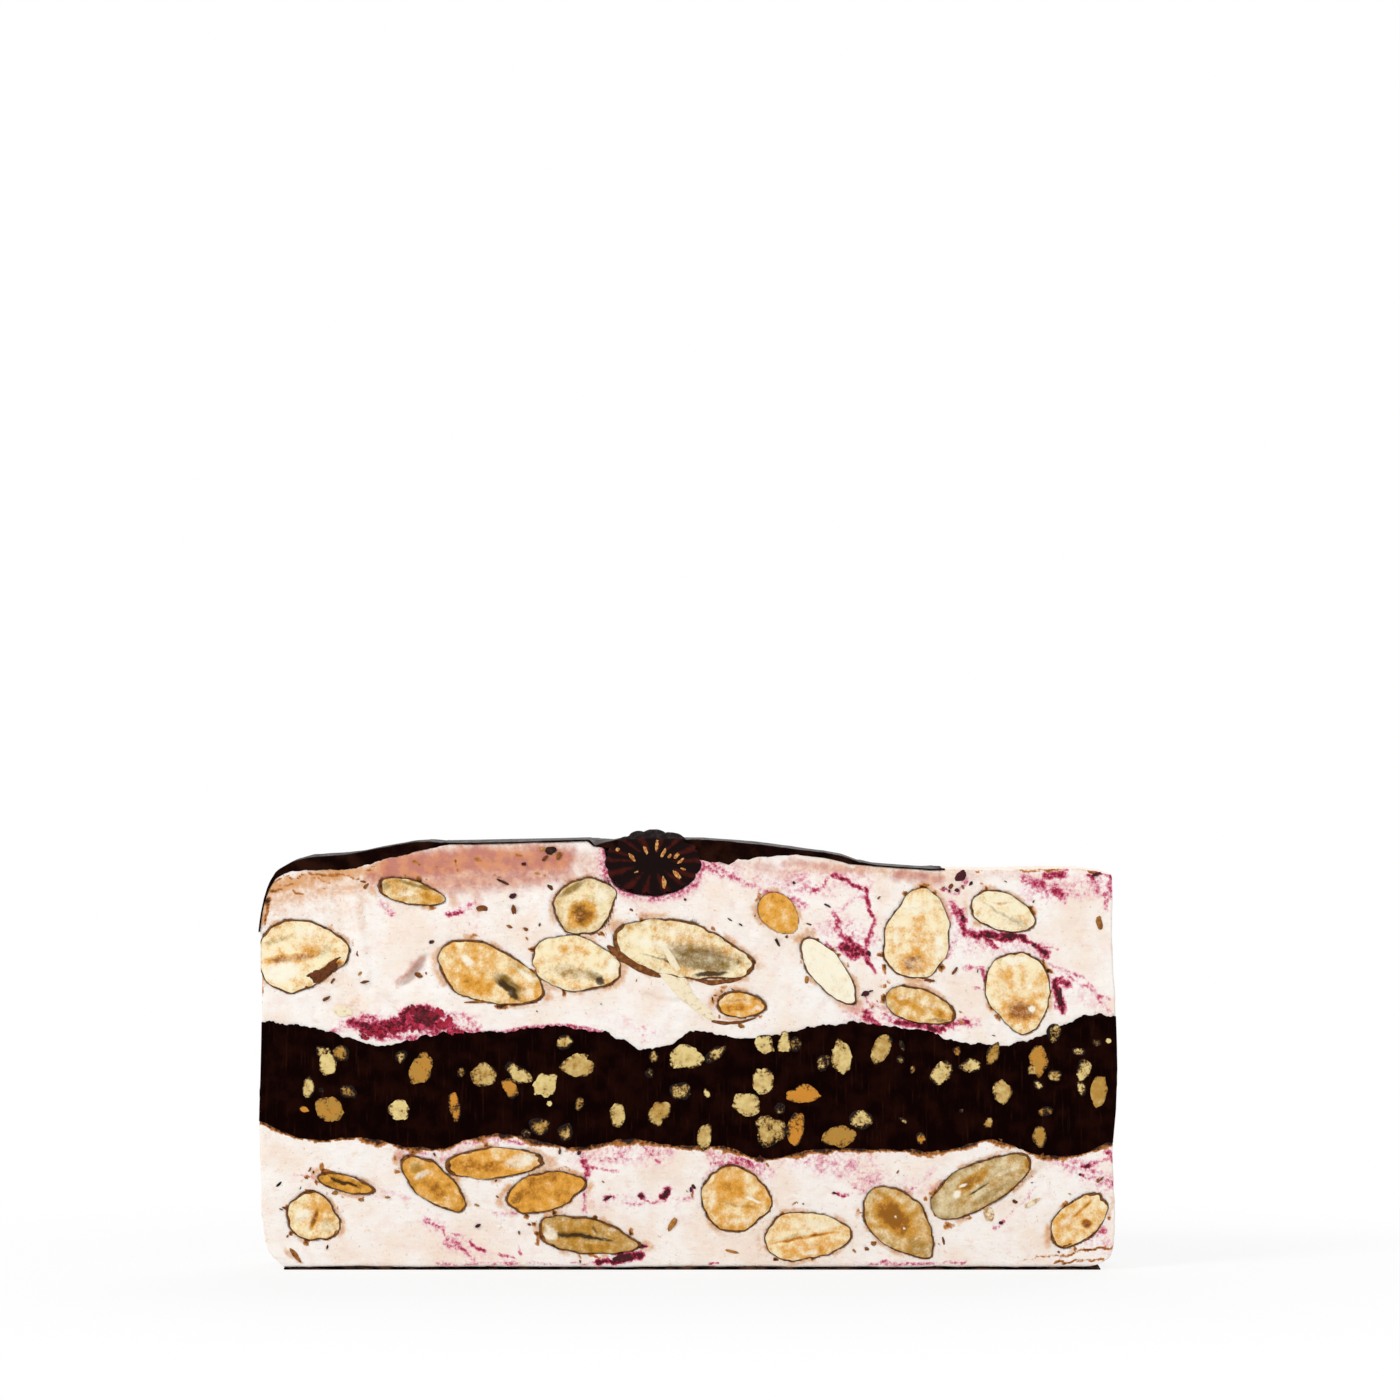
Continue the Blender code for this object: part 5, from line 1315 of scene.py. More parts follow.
skin, tree, shader = new_material("almond_skin_papery", Roughness=0.65, IOR=1.45, Specular_IOR_Level=0.12)
place = places(tree)
brown = noise(tree, place, 0.7, 3.0, 0.6)
colour = mix(tree, ramp(tree, brown, 0.3, 0.55), linear("#3a1c0c"), linear("#7d4c20"))
colour = mix(tree, ramp(tree, brown, 0.58, 0.75), colour, linear("#a8743a"))
tree.links.new(colour, shader.inputs["Base Color"])
bump(tree, shader, brown, 0.08, 0.6)

# %% Cut almonds
ALMOND_SETBACK = 0.16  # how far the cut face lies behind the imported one
SPOKES = 120
FACE_RINGS = 26
BACK_RINGS = 7


def mark_share(dx, dz, half_long, half_short, tilt):
    """1 in the middle of an oval mark and 0 from its edge on, falling as an S-curve."""
    turn = math.radians(tilt)
    along = (dx * math.cos(turn) + dz * math.sin(turn)) / half_long
    across = (dz * math.cos(turn) - dx * math.sin(turn)) / half_short
    return 1 - step(0.35, 1.15, np.hypot(along, across))


def add_almond(almond):
    """One cut almond. A point at a share s of the way out lies at s times the outline, an oval whose
    pointed end is narrower, made uneven by hills round its edge."""
    look, number = almond["look"], almond["number"]
    angle = np.linspace(0, 2 * math.pi, SPOKES, endpoint=False)
    taper = 1 - TAPER * np.cos(angle)
    long_way = np.cos(angle) * almond["long"]
    broad_way = np.sin(angle) * almond["broad"] * taper
    edge = flat_points(long_way, broad_way, 10.0 * number)
    uneven = unevenness(almond, angle)
    patchy = step(-0.75, 0.1, hills(edge, 3.4, 117)) * (0.75 + 0.45 * hills(edge, 0.9, 119))
    band = 1.15 * look["skin"] * np.clip(patchy, 0.05, 1.6) / almond["broad"]
    inner = np.linspace(0.02, 1, FACE_RINGS)[:, None] * (1 - band)
    skin_rings = np.vstack((1 - 0.5 * band, 1 + 0 * band))
    turn = np.linspace(0, math.pi / 2, BACK_RINGS + 1, endpoint=False)[1:, None]
    back_rings = 0.97 * np.cos(turn) + 0 * band
    share = np.vstack((inner, skin_rings, back_rings)) * uneven
    axis = almond["axis"]
    u, v = share * long_way, share * broad_way
    dx, dz = u * axis[0] - v * axis[1], u * axis[1] + v * axis[0]
    flat = flat_points(dx, dz, 7.0 * number)
    tint = np.tile(np.array(look["base"], float), (dx.size, 1))
    dent = np.zeros(dx.size)
    for kind, mx, mz, half_long, half_short, tilt, amount in look["marks"]:
        ragged = 0.22 * rough(flat, 1.2, 2, 121)
        from_mark = dx.ravel() - mx + ragged, dz.ravel() - mz + ragged
        held = amount * mark_share(*from_mark, half_long, half_short, tilt)
        if kind == DENT:
            dent = np.maximum(dent, held)
        else:
            tint[:, kind] = tint[:, kind] * (1 - np.abs(held) / 2) + held
    tint[:, TOAST] += 0.16 * rough(flat, 2.6, 3, 127)
    dent = np.minimum(dent, 0.7 * almond["reach"]).reshape(dx.shape)
    # Painted shade in the dents: the deeper a dent, the more olive and dark shade colour it gets.
    tint[:, OLIVE] += (0.3 * dent).ravel()
    tint[:, PAINTED_SHADE] += (0.22 * dent).ravel()
    # Painted shade near the rim: the outer quarter of the face turns olive in patches.
    rim_shade = (0.5 + 0.6 * rough(flat, 1.5, 3, 123)).reshape(dx.shape)
    tint[:, OLIVE] += (0.34 * step(0.74, 1.0, share / uneven) * rim_shade).clip(0, 0.5).ravel()
    relief = (0.05 * rough(flat, 1.6, 4, 131)).reshape(dx.shape)
    face_share = share / uneven
    dome = 0.22 * step(0.86, 1.0, face_share) if look["skin"] else 0.35 * step(0.6, 1.0, face_share)
    depth = ALMOND_SETBACK + dome * 0.5 - relief * (face_share < 0.97)
    depth = depth + dent * (1 - step(0.9, 1.0, face_share))
    depth[FACE_RINGS] -= 0.06 + band * almond["broad"] * 0.2
    depth[FACE_RINGS + 1] += 0.12
    depth[FACE_RINGS + 2 :] = 0.3 + almond["reach"] * np.sin(turn)
    plane = LOW[1] if almond["facing"] < 0 else HIGH[1]
    y = plane - almond["facing"] * depth
    x, z = almond["x"] + dx, almond["z"] + dz
    if almond["x"] - almond["long"] < LOW[0] + 1.2:
        x = np.maximum(x, left_end(z) - 0.1)
    points, faces = closed_stack(np.stack((x, y, z), axis=-1))
    colours = np.vstack((tint, tint[:SPOKES].mean(0), tint[-SPOKES:].mean(0)))
    in_skin = np.zeros(len(faces), int)
    first_skin = (FACE_RINGS - 1) * SPOKES
    if look["skin"]:
        in_skin[first_skin : (len(share) - 1) * SPOKES] = 1
        in_skin[-SPOKES:] = 1
    faces_out = outward(points, faces)
    name = almond["name"].replace("almond", "almond_cut")
    return add_piece(name, points, faces_out, [flesh, skin], "almond", (almond["name"],), colours, in_skin)


for almond in almonds.values():
    add_almond(almond)

# %% [markdown]
# ## Chopped nuts in the chocolate
#
# They are crumbs two to five millimetres wide, some pale and some roasted orange, each with a flat cut
# face in the plane of the knife and chocolate dragged over its edge. One crumb is a few rings with a
# lumpy outline; all the crumbs of a face are joined into one piece. The front ones are placed one by one.

# %% Nut material
nut, tree, shader = new_material(
    "chopped_nut_chocolate_smeared", Roughness=0.45, IOR=1.47, Specular_IOR_Level=0.15
)
place = places(tree)
tint = add(tree, "ShaderNodeAttribute", {"attribute_name": "tint"}).outputs
parts = add(tree, "ShaderNodeSeparateColor", None, Color=tint["Color"]).outputs
cloud = noise(tree, place, 1.3, 4.0, 0.65)
fine = noise(tree, place, 0.45, 4.0, 0.65)
gold = sum_up(tree, "ADD", parts["Red"], sum_up(tree, "MULTIPLY", sum_up(tree, "SUBTRACT", cloud, 0.5), 0.9))
colour = mix(tree, ramp(tree, gold, 0.0, 0.55), linear("#e6d08e"), linear("#b4873a"))
colour = mix(tree, ramp(tree, gold, 0.55, 1.0), colour, linear("#d18a2e"))
film = sum_up(tree, "ADD", sum_up(tree, "MULTIPLY", sum_up(tree, "SUBTRACT", fine, 0.5), 1.7), parts["Green"])
film = sum_up(tree, "ADD", film, sum_up(tree, "MULTIPLY", sum_up(tree, "SUBTRACT", cloud, 0.5), 1.3))
colour = mix(tree, ramp(tree, film, 0.3, 0.62), colour, linear("#6f4e20"))
colour = mix(tree, ramp(tree, film, 0.58, 0.76), colour, linear("#120504"))
tree.links.new(colour, shader.inputs["Base Color"])
bump(tree, shader, sum_up(tree, "ADD", cloud, fine), 0.08, 0.7)

# %% Crumbs in the front face: x, z, length, breadth, tilt, how golden, how smeared
FRONT_NUTS = (
    (-63.9, 38.1, 2.2, 2.0, 0, 0.2, 0.5), (-62.8, 36.0, 4.7, 2.7, 95, 0.15, 0.1),
    (-60.6, 37.8, 3.2, 2.9, 90, 0.6, 0.35), (-66.3, 32.0, 3.7, 2.1, 80, 0.2, 0.3),
    (-66.9, 28.0, 1.5, 0.9, -20, 1.0, 0.2), (-62.6, 27.7, 4.9, 4.7, 105, 0.65, 0.15),
    (-59.3, 31.1, 2.8, 2.1, -35, 0.5, 0.55), (-64.0, 31.4, 0.8, 0.8, 0, 0.4, 0.7),
    (-50.4, 27.9, 4.2, 3.4, -10, 0.1, 0.1), (-46.6, 34.8, 5.8, 3.7, 62, 0.7, 0.15),
    (-50.0, 37.2, 2.3, 1.7, 60, 0.3, 0.65), (-39.5, 34.4, 1.7, 1.5, 90, 0.5, 0.5),
    (-40.7, 28.5, 4.5, 1.8, 95, 1.0, 0.35), (-35.6, 34.0, 4.2, 4.0, 0, 0.35, 0.2),
    (-29.7, 34.2, 4.9, 2.6, -30, 0.2, 0.3), (-31.1, 31.7, 3.7, 2.0, 118, 0.85, 0.2),
    (-24.8, 32.2, 4.7, 4.3, 0, 0.15, 0.05), (-21.4, 39.7, 2.7, 2.4, 10, 0.25, 0.35),
    (-19.4, 35.6, 5.3, 4.8, 5, 0.3, 0.05), (-18.9, 28.8, 2.3, 1.8, 70, 0.4, 0.5),
    (-25.9, 24.9, 4.2, 3.2, 0, 0.45, 0.5), (-28.2, 23.9, 1.5, 1.5, 0, 0.2, 0.5),
    (-21.3, 23.9, 2.9, 2.8, 110, 0.35, 0.5), (-12.4, 26.8, 4.4, 2.8, 100, 0.25, 0.15),
    (-5.1, 27.3, 4.5, 3.7, 85, 0.4, 0.2), (-6.0, 37.1, 2.0, 1.6, 90, 0.3, 0.6),
    (-6.7, 34.3, 1.6, 1.3, 90, 0.3, 0.5), (-1.3, 31.0, 3.4, 3.2, 0, 0.3, 0.45),
    (-0.4, 37.0, 5.6, 4.2, -5, 0.15, 0.1), (4.8, 37.7, 4.0, 2.2, 32, 0.2, 0.45),
    (3.3, 30.7, 1.5, 0.9, 110, 0.0, 0.1), (13.3, 39.2, 4.0, 3.3, 5, 0.15, 0.3),
    (16.7, 39.6, 3.2, 2.3, 90, 0.2, 0.2), (18.9, 39.4, 2.4, 2.0, 90, 0.35, 0.5),
    (13.0, 33.4, 4.9, 3.7, 95, 0.2, 0.05), (10.4, 28.9, 5.1, 4.4, -5, 0.2, 0.1),
    (16.0, 28.1, 1.9, 1.9, 0, 0.2, 0.6), (20.5, 30.5, 6.1, 3.3, -3, 0.95, 0.05),
    (14.3, 24.4, 5.6, 5.4, 110, 0.35, 0.3), (18.9, 24.5, 5.9, 2.9, 82, 1.0, 0.1),
    (2.8, 23.4, 4.2, 2.1, 85, 0.3, 0.2), (23.6, 36.1, 2.8, 2.2, 90, 0.15, 0.4),
    (26.6, 37.2, 5.5, 3.7, 98, 0.2, 0.1), (33.6, 38.5, 5.0, 3.2, 65, 0.35, 0.15),
    (30.3, 26.2, 3.7, 3.1, 0, 0.2, 0.4), (26.4, 23.2, 5.0, 3.4, 15, 0.6, 0.15),
    (37.3, 39.1, 1.8, 0.9, 110, 0.7, 0.6), (37.0, 36.7, 1.4, 1.2, 90, 0.3, 0.6),
    (39.2, 35.0, 1.2, 1.0, 90, 0.5, 0.7), (46.9, 38.2, 1.4, 1.4, 0, 0.9, 0.5),
    (44.4, 34.4, 4.5, 2.9, 42, 0.2, 0.2), (49.3, 35.6, 3.7, 2.3, 5, 0.15, 0.25),
    (53.2, 37.7, 3.7, 2.3, 65, 0.5, 0.25), (64.0, 41.3, 2.7, 2.4, 70, 0.3, 0.5),
    (61.2, 36.4, 4.9, 3.5, 90, 0.75, 0.1), (60.0, 34.8, 1.7, 1.5, 90, 0.3, 0.4),
    (61.1, 32.2, 1.7, 1.5, 90, 0.1, 0.5), (64.0, 33.9, 2.2, 2.0, 30, 0.35, 0.45),
    (54.8, 31.0, 4.2, 3.3, 95, 0.3, 0.1), (68.2, 38.0, 2.0, 1.5, 0, 0.1, 0.5),
    (68.9, 34.7, 3.7, 2.4, 75, 0.2, 0.25), (68.7, 31.7, 2.7, 1.6, 100, 0.15, 0.5),
    (71.8, 31.0, 5.0, 2.7, 78, 0.5, 0.1), (71.3, 39.6, 1.5, 1.2, 0, 0.4, 0.6),
    (62.5, 27.6, 2.7, 1.8, 5, 0.8, 0.45), (61.3, 23.2, 3.3, 2.3, 98, 0.5, 0.25),
    (52.5, 25.6, 1.5, 1.5, 0, 0.4, 0.4), (47.7, 27.8, 0.8, 0.7, 0, 0.3, 0.7),
    (37.6, 26.1, 1.7, 0.9, -30, 0.2, 0.7), (40.6, 22.8, 2.1, 1.5, 100, 0.9, 0.45),
    # The last two crumbs, pale and without film, are painted highlights: small bright spots standing for
    # glints.
    (-24.2, 29.0, 0.8, 0.8, 0, 0.0, 0.0), (73.4, 39.9, 0.9, 0.9, 0, 0.0, 0.0),
)
NUT_SPOKES = 26
NUT_SHARES = np.array((0.25, 0.5, 0.72, 0.88, 0.97, 1.0, 0.9, 0.6, 0.25))
NUT_DEPTHS = np.array((0.0, 0.0, 0.01, 0.03, 0.08, 0.25, 0.6, 0.9, 1.0))


def crumb(seed, origin, right, up, out, size, gold, film):
    """One cut crumb in the plane of right and up: an oval whose radius swells and shrinks with hills
    round its edge, a flat face towards out and a round back."""
    angle = np.linspace(0, 2 * math.pi, NUT_SPOKES, endpoint=False)
    circle = np.column_stack((np.cos(angle), np.sin(angle), np.full(NUT_SPOKES, 3.7 * seed)))
    lumpy = 1.12 + 0.3 * hills(circle, 0.8, 141) + 0.14 * hills(circle, 0.3, 143)
    shares = NUT_SHARES[:, None]
    u = shares * lumpy * np.cos(angle) * size[0] / 2
    v = shares * lumpy * np.sin(angle) * size[1] / 2
    depth = NUT_DEPTHS[:, None] * min(size) * 0.55 + 0 * u
    flat = np.column_stack((u.ravel(), np.full(u.size, 5.3 * seed), v.ravel()))
    depth = depth - 0.05 * rough(flat, 1.0, 2, 147).reshape(u.shape) * (shares < 0.95)
    rings = origin + u[..., None] * right + v[..., None] * up - depth[..., None] * out
    points, faces = closed_stack(rings)
    smeared = film + 0.5 * step(0.5, 1.0, shares + 0 * u) + 0.3 * hills(flat, 1.2, 149).reshape(u.shape)
    colours = np.zeros((len(points), 4))
    colours[: u.size, 0] = gold
    colours[: u.size, 1] = smeared.ravel()
    colours[u.size :] = colours[0]
    return points, outward(points, faces), colours


def turned(tilt, across, upward):
    """Two directions in a plane, turned by a tilt in degrees."""
    turn = math.radians(tilt)
    across, upward = np.array(across, float), np.array(upward, float)
    right = across * math.cos(turn) + upward * math.sin(turn)
    return right, upward * math.cos(turn) - across * math.sin(turn)


def front_crumb(seed, x, z, setback, tilt, size, tone, film=0.0):
    """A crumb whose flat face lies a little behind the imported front."""
    right, up = turned(tilt, (1, 0, 0), (0, 0, 1))
    origin = np.array((x, LOW[1] + setback, z))
    return crumb(seed, origin, right, up, np.array((0.0, -1.0, 0.0)), size, tone, film)


def add_joined(name, bodies, material, slot):
    """Many small bodies as one piece."""
    points, faces, colours = joined(bodies)
    return add_piece(name, points, faces, [material], slot, (), colours)


NUT_SETBACK = 0.08
bodies = []
for seed, (x, z, length, breadth, tilt, gold, film) in enumerate(FRONT_NUTS):
    bodies.append(front_crumb(seed, x, z, NUT_SETBACK, tilt, (length, breadth), gold, film))
add_joined("chopped_nuts_front", bodies, nut, "almond")

# %% Crumbs in the back face and the two ends
draw = np.random.default_rng(151)
bodies = []


def scattered(count, low, high, gap):
    """Places that keep a gap to each other, as many as fit in a number of tries."""
    kept = []
    for place_tried in draw.uniform(low, high, (count * 12, 2)):
        if len(kept) < count and all(np.hypot(*(place_tried - other)) > gap for other in kept):
            kept.append(place_tried)
    return kept


def random_crumb(seed, origin, across, out):
    """A crumb of random size and tone in the plane of across and Z."""
    right, up = turned(draw.uniform(-90, 90), across, (0, 0, 1))
    length = draw.uniform(1.2, 5.4)
    size = (length, length * draw.uniform(0.5, 0.9))
    gold, film = draw.uniform(0, 1) ** 2, draw.uniform(0.05, 0.5)
    return crumb(seed, origin, right, up, np.array(out, float), size, gold, film)


def chocolate_band(x, y):
    """The floor and the roof of the chocolate at one place."""
    return [float(height(np.array(x), np.array(y))) for height in (choc_floor, choc_roof)]


for seed, (x, share) in enumerate(scattered(78, (LOW[0] + 3, 0.1), (HIGH[0] - 3, 0.9), 3.2), 200):
    y = HIGH[1] - NUT_SETBACK
    low, high = chocolate_band(x, y)
    z = low * (1 - share) + high * share
    bodies.append(random_crumb(seed, np.array((x, y, z)), (-1, 0, 0), (0, 1, 0)))
for side, line in ((-1, left_end), (1, right_end)):
    on_end = scattered(14, (LOW[1] + 2.5, 25.5), (HIGH[1] - 2.5, 40.5), 3.6)
    for seed, (y, z) in enumerate(on_end, 300 + side):
        origin = np.array((float(line(z)) - 0.1 * side, y, z))
        bodies.append(random_crumb(seed, origin, (0, side, 0), (side, 0, 0)))
add_joined("chopped_nuts_sides", bodies, nut, "almond")

# %% [markdown]
# ## The cut berry
#
# The knife went through it too: a wet, nearly black face with a lobed edge, pale seeds that point away
# from the core, and above the cut a dull, dusty skin. The body is a half ball whose skin swells out
# over each small fruit that it is made of.

# %% Berry materials
berry_flesh, tree, shader = new_material("berry_cut_wet", IOR=1.4, Specular_IOR_Level=0.1, Roughness=0.35)
place = places(tree)
tint = add(tree, "ShaderNodeAttribute", {"attribute_name": "tint"}).outputs
parts = add(tree, "ShaderNodeSeparateColor", None, Color=tint["Color"]).outputs
cloud = noise(tree, place, 0.8, 3.0)
lit = sum_up(tree, "ADD", parts["Red"], sum_up(tree, "SUBTRACT", cloud, 0.5))
colour = mix(tree, ramp(tree, lit, 0.25, 0.95), linear("#120303"), linear("#461209"))
tree.links.new(colour, shader.inputs["Base Color"])
bump(tree, shader, cloud, 0.1, 0.7)

berry_skin, tree, shader = new_material("berry_skin_dusty", IOR=1.4, Specular_IOR_Level=0.12)
place = places(tree)
cloud = noise(tree, place, 1.2, 4.0, 0.6)
colour = mix(tree, ramp(tree, cloud, 0.4, 0.65), linear("#150b0b"), linear("#332827"))
tree.links.new(colour, shader.inputs["Base Color"])
tree.links.new(ramp(tree, cloud, 0.35, 0.65, 0.4, 0.65), shader.inputs["Roughness"])
bump(tree, shader, cloud, 0.2, 0.8)

seed_shell, tree, shader = new_material("berry_seed_golden", Roughness=0.4, IOR=1.47)
shade = noise(tree, places(tree), 0.5, 2.0)
colour = mix(tree, ramp(tree, shade, 0.4, 0.62), linear("#a5601f"), linear("#dca458"))
tree.links.new(colour, shader.inputs["Base Color"])

# %% The berry
BERRY_SPOKES = 180
BERRY_FACE_RINGS = 30
BERRY_BACK_RINGS = 44
FRUITLETS = 70
FRUITLET_WIDTH = 0.36  # in radians, seen from the middle
FRUITLET_RISE = 0.62
CUT_TOP = 4.1  # how high above the berry's middle the knife's face ends
SECTORS = 14  # dark rays on the cut
LOBES = 15  # fruitlets round its edge


def fruitlet_rise(directions):
    """How far the skin stands out: a round dome over each fruitlet's direction, 0 between them."""
    number = np.arange(FRUITLETS) + 0.5
    height = 1 - 2 * number / FRUITLETS
    turn = number * math.pi * (1 + math.sqrt(5))
    around = np.sqrt(1 - height**2)
    heads = np.column_stack((np.cos(turn) * around, height, np.sin(turn) * around))
    nearest = np.arccos(np.clip((directions @ heads.T).max(axis=1), -1, 1))
    return np.sqrt(np.clip(1 - (nearest / FRUITLET_WIDTH) ** 2, 0, 1))


berry_middle = np.array(((berry_box[0][0] + berry_box[1][0]) / 2, LOW[1], BERRY_MIDDLE_Z))
berry_half = (berry_box[1] - berry_box[0]) / 2
berry_half[1] = BERRY_REACH
angle = np.linspace(0, 2 * math.pi, BERRY_SPOKES, endpoint=False)
turn = np.linspace(0, math.pi / 2, BERRY_BACK_RINGS + 1)[:-1, None]
ring_size = np.cos(turn)
directions = (np.cos(angle) * ring_size, np.sin(turn) + 0 * angle, np.sin(angle) * ring_size)
directions = np.stack(directions, axis=-1)
rise = fruitlet_rise(directions.reshape(-1, 3)).reshape(directions.shape[:2])
shifts = 0.35 * hills(flat_points(np.cos(angle), np.sin(angle)), 0.7, 159)
lobe = np.mod(angle * LOBES / (2 * math.pi) + shifts, 1)
lobes = np.sqrt(np.clip(1 - (2 * lobe - 1) ** 2, 0, 1))
at_cut = 1 - step(0.1, 0.5, turn)
rise = lobes * at_cut + rise * (1 - at_cut)
wrinkles = 0.12 * rough(directions.reshape(-1, 3) * 6, 1.3, 3, 161).reshape(rise.shape)
body = directions * (berry_half - FRUITLET_RISE * 0.75)
body = body + directions * (FRUITLET_RISE * (rise - 0.35) + wrinkles)[..., None]
body[..., 2] = np.minimum(body[..., 2], CUT_TOP + 1.3 * body[..., 1] + wrinkles)
edge = body[0]
share = np.linspace(0.02, 0.985, BERRY_FACE_RINGS)[:, None, None]
face = edge * share
sector = np.cos(angle * SECTORS + 2 * hills(flat_points(np.cos(angle), np.sin(angle)), 0.5, 163))
dip = 0.12 * sector * step(0.25, 0.7, share[..., 0]) + 0.3 * step(0.3, 0.0, share[..., 0])
face[..., 1] = 0.1 + 0.1 * step(0.88, 1.0, share[..., 0]) - dip * 0.4
body[..., 1] += 0.26
rings = berry_middle + np.vstack((face, body))
points, faces = closed_stack(rings)
lit = np.zeros((len(points), 4))
lit[: face[..., 0].size, 0] = ((0.35 + 0.4 * sector) * step(0.15, 0.6, share[..., 0])).ravel()
skinned = np.zeros(len(faces), int)
skinned[BERRY_FACE_RINGS * BERRY_SPOKES : (len(rings) - 1) * BERRY_SPOKES] = 1
skinned[-BERRY_SPOKES:] = 1
faces = outward(points, faces)
add_piece("berry_cut", points, faces, [berry_flesh, berry_skin], "berry", ("berry",), lit, skinned)

# %% Its seeds: x, z, length, breadth, tilt
SEEDS = (
    (-9.8, 72.0, 1.7, 0.6, -50), (-7.4, 73.3, 1.7, 0.55, -72), (-5.4, 74.0, 1.9, 0.6, 80),
    (-4.3, 72.6, 1.9, 0.6, 58), (-3.2, 72.2, 0.8, 0.45, 55), (-1.9, 72.3, 1.3, 0.6, 48),
    (-1.3, 71.3, 1.3, 0.5, 35), (-0.8, 69.9, 0.9, 0.35, -22), (-2.0, 69.0, 1.9, 0.65, -48),
    (-4.2, 67.6, 1.9, 0.75, -84), (-12.3, 73.2, 0.8, 0.6, 60), (-9.0, 69.4, 0.7, 0.25, 20),
)
SEED_SETBACK = 0.06
bodies = []
for seed, (x, z, length, breadth, tilt) in enumerate(SEEDS):
    right, up = turned(tilt, (1, 0, 0), (0, 0, 1))
    origin = np.array((x, LOW[1] + SEED_SETBACK, z))
    bodies.append(crumb(seed + 400, origin, right, up, np.array((0.0, -1.0, 0.0)), (length, breadth), 0, 0))
add_piece("berry_seeds", *joined(bodies)[:2], [seed_shell], "berry")

# %% [markdown]
# ## Small things in the nougat
#
# Freeze-dried raspberry lies in crumbs along the chocolate, and bits of almond skin, dark berry and
# nut are scattered over the cut. The knife also peeled off two creamy curls and left flaps of skin
# under an almond. Crumbs use the crumb from above; curls and flaps are ribbons along a bent line.

# %% Materials of the small things
raspberry, tree, shader = new_material(
    "freeze_dried_raspberry", Roughness=0.5, IOR=1.4, Specular_IOR_Level=0.35
)
place = places(tree)
tint = add(tree, "ShaderNodeAttribute", {"attribute_name": "tint"}).outputs
parts = add(tree, "ShaderNodeSeparateColor", None, Color=tint["Color"]).outputs
cloud = noise(tree, place, 0.6, 3.0, 0.6)
hue = sum_up(tree, "ADD", parts["Red"], sum_up(tree, "MULTIPLY", sum_up(tree, "SUBTRACT", cloud, 0.5), 1.2))
colour = mix(tree, ramp(tree, hue, 0.0, 0.6), linear("#3a040e"), linear("#a0102e"))
colour = mix(tree, ramp(tree, hue, 0.6, 1.1), colour, linear("#cc4468"))
tree.links.new(colour, shader.inputs["Base Color"])
bump(tree, shader, cloud, 0.15, 0.8)

flake, tree, shader = new_material("almond_skin_flake", Roughness=0.55, IOR=1.45, Specular_IOR_Level=0.2)
tint = add(tree, "ShaderNodeAttribute", {"attribute_name": "tint"}).outputs
parts = add(tree, "ShaderNodeSeparateColor", None, Color=tint["Color"]).outputs
cloud = noise(tree, places(tree), 0.9, 4.0, 0.65)
hue = sum_up(tree, "ADD", parts["Red"], sum_up(tree, "MULTIPLY", sum_up(tree, "SUBTRACT", cloud, 0.5), 0.9))
colour = mix(tree, ramp(tree, hue, 0.0, 0.35), linear("#1a0a08"), linear("#6e3a17"))
colour = mix(tree, ramp(tree, hue, 0.35, 0.7), colour, linear("#b27a38"))
colour = mix(tree, ramp(tree, hue, 0.7, 1.0), colour, linear("#f6e8c8"))
tree.links.new(colour, shader.inputs["Base Color"])
bump(tree, shader, cloud, 0.12, 0.7)

# %% Raspberry crumbs
CRUMB_LINE = np.array((
    (-57.0, 40.9), (-53.5, 41.6), (-50.0, 42.4), (-47.0, 44.0), (-44.5, 43.8), (-42.0, 42.2),
    (-39.5, 41.4),
))
CRUMB_SPREAD = np.array((0.6, 1.2, 1.5, 1.9, 1.7, 0.9, 0.4))
CRUMBS = 190
draw = np.random.default_rng(171)
bodies = []
for seed in range(CRUMBS):
    along = draw.uniform(0, len(CRUMB_LINE) - 1) if seed % 3 else draw.uniform(2.4, 4.6)
    stations = np.arange(len(CRUMB_LINE))
    spread = np.interp(along, stations, CRUMB_SPREAD) * draw.normal(0, 0.55, 2)
    x, z = [np.interp(along, stations, CRUMB_LINE[:, i]) + spread[i] for i in (0, 1)]
    z = max(z, chocolate_band(x, LOW[1])[1] - 0.3)
    tilt = draw.uniform(-90, 90)
    size = draw.uniform(0.5, 1.5) * (0.6 + 0.4 * (seed % 3 == 0))
    core = np.hypot(x + 45.8, (z - 44.2) * 1.4) < 2.0
    hue = draw.uniform(0.0, 0.3) if core else draw.uniform(0.25, 0.95)
    setback = draw.uniform(0.06, 0.22)
    size = (size, size * draw.uniform(0.5, 0.9))
    bodies.append(front_crumb(seed + 500, x, z, setback, tilt, size, hue))
add_joined("raspberry_crumbs", bodies, raspberry, "berry")

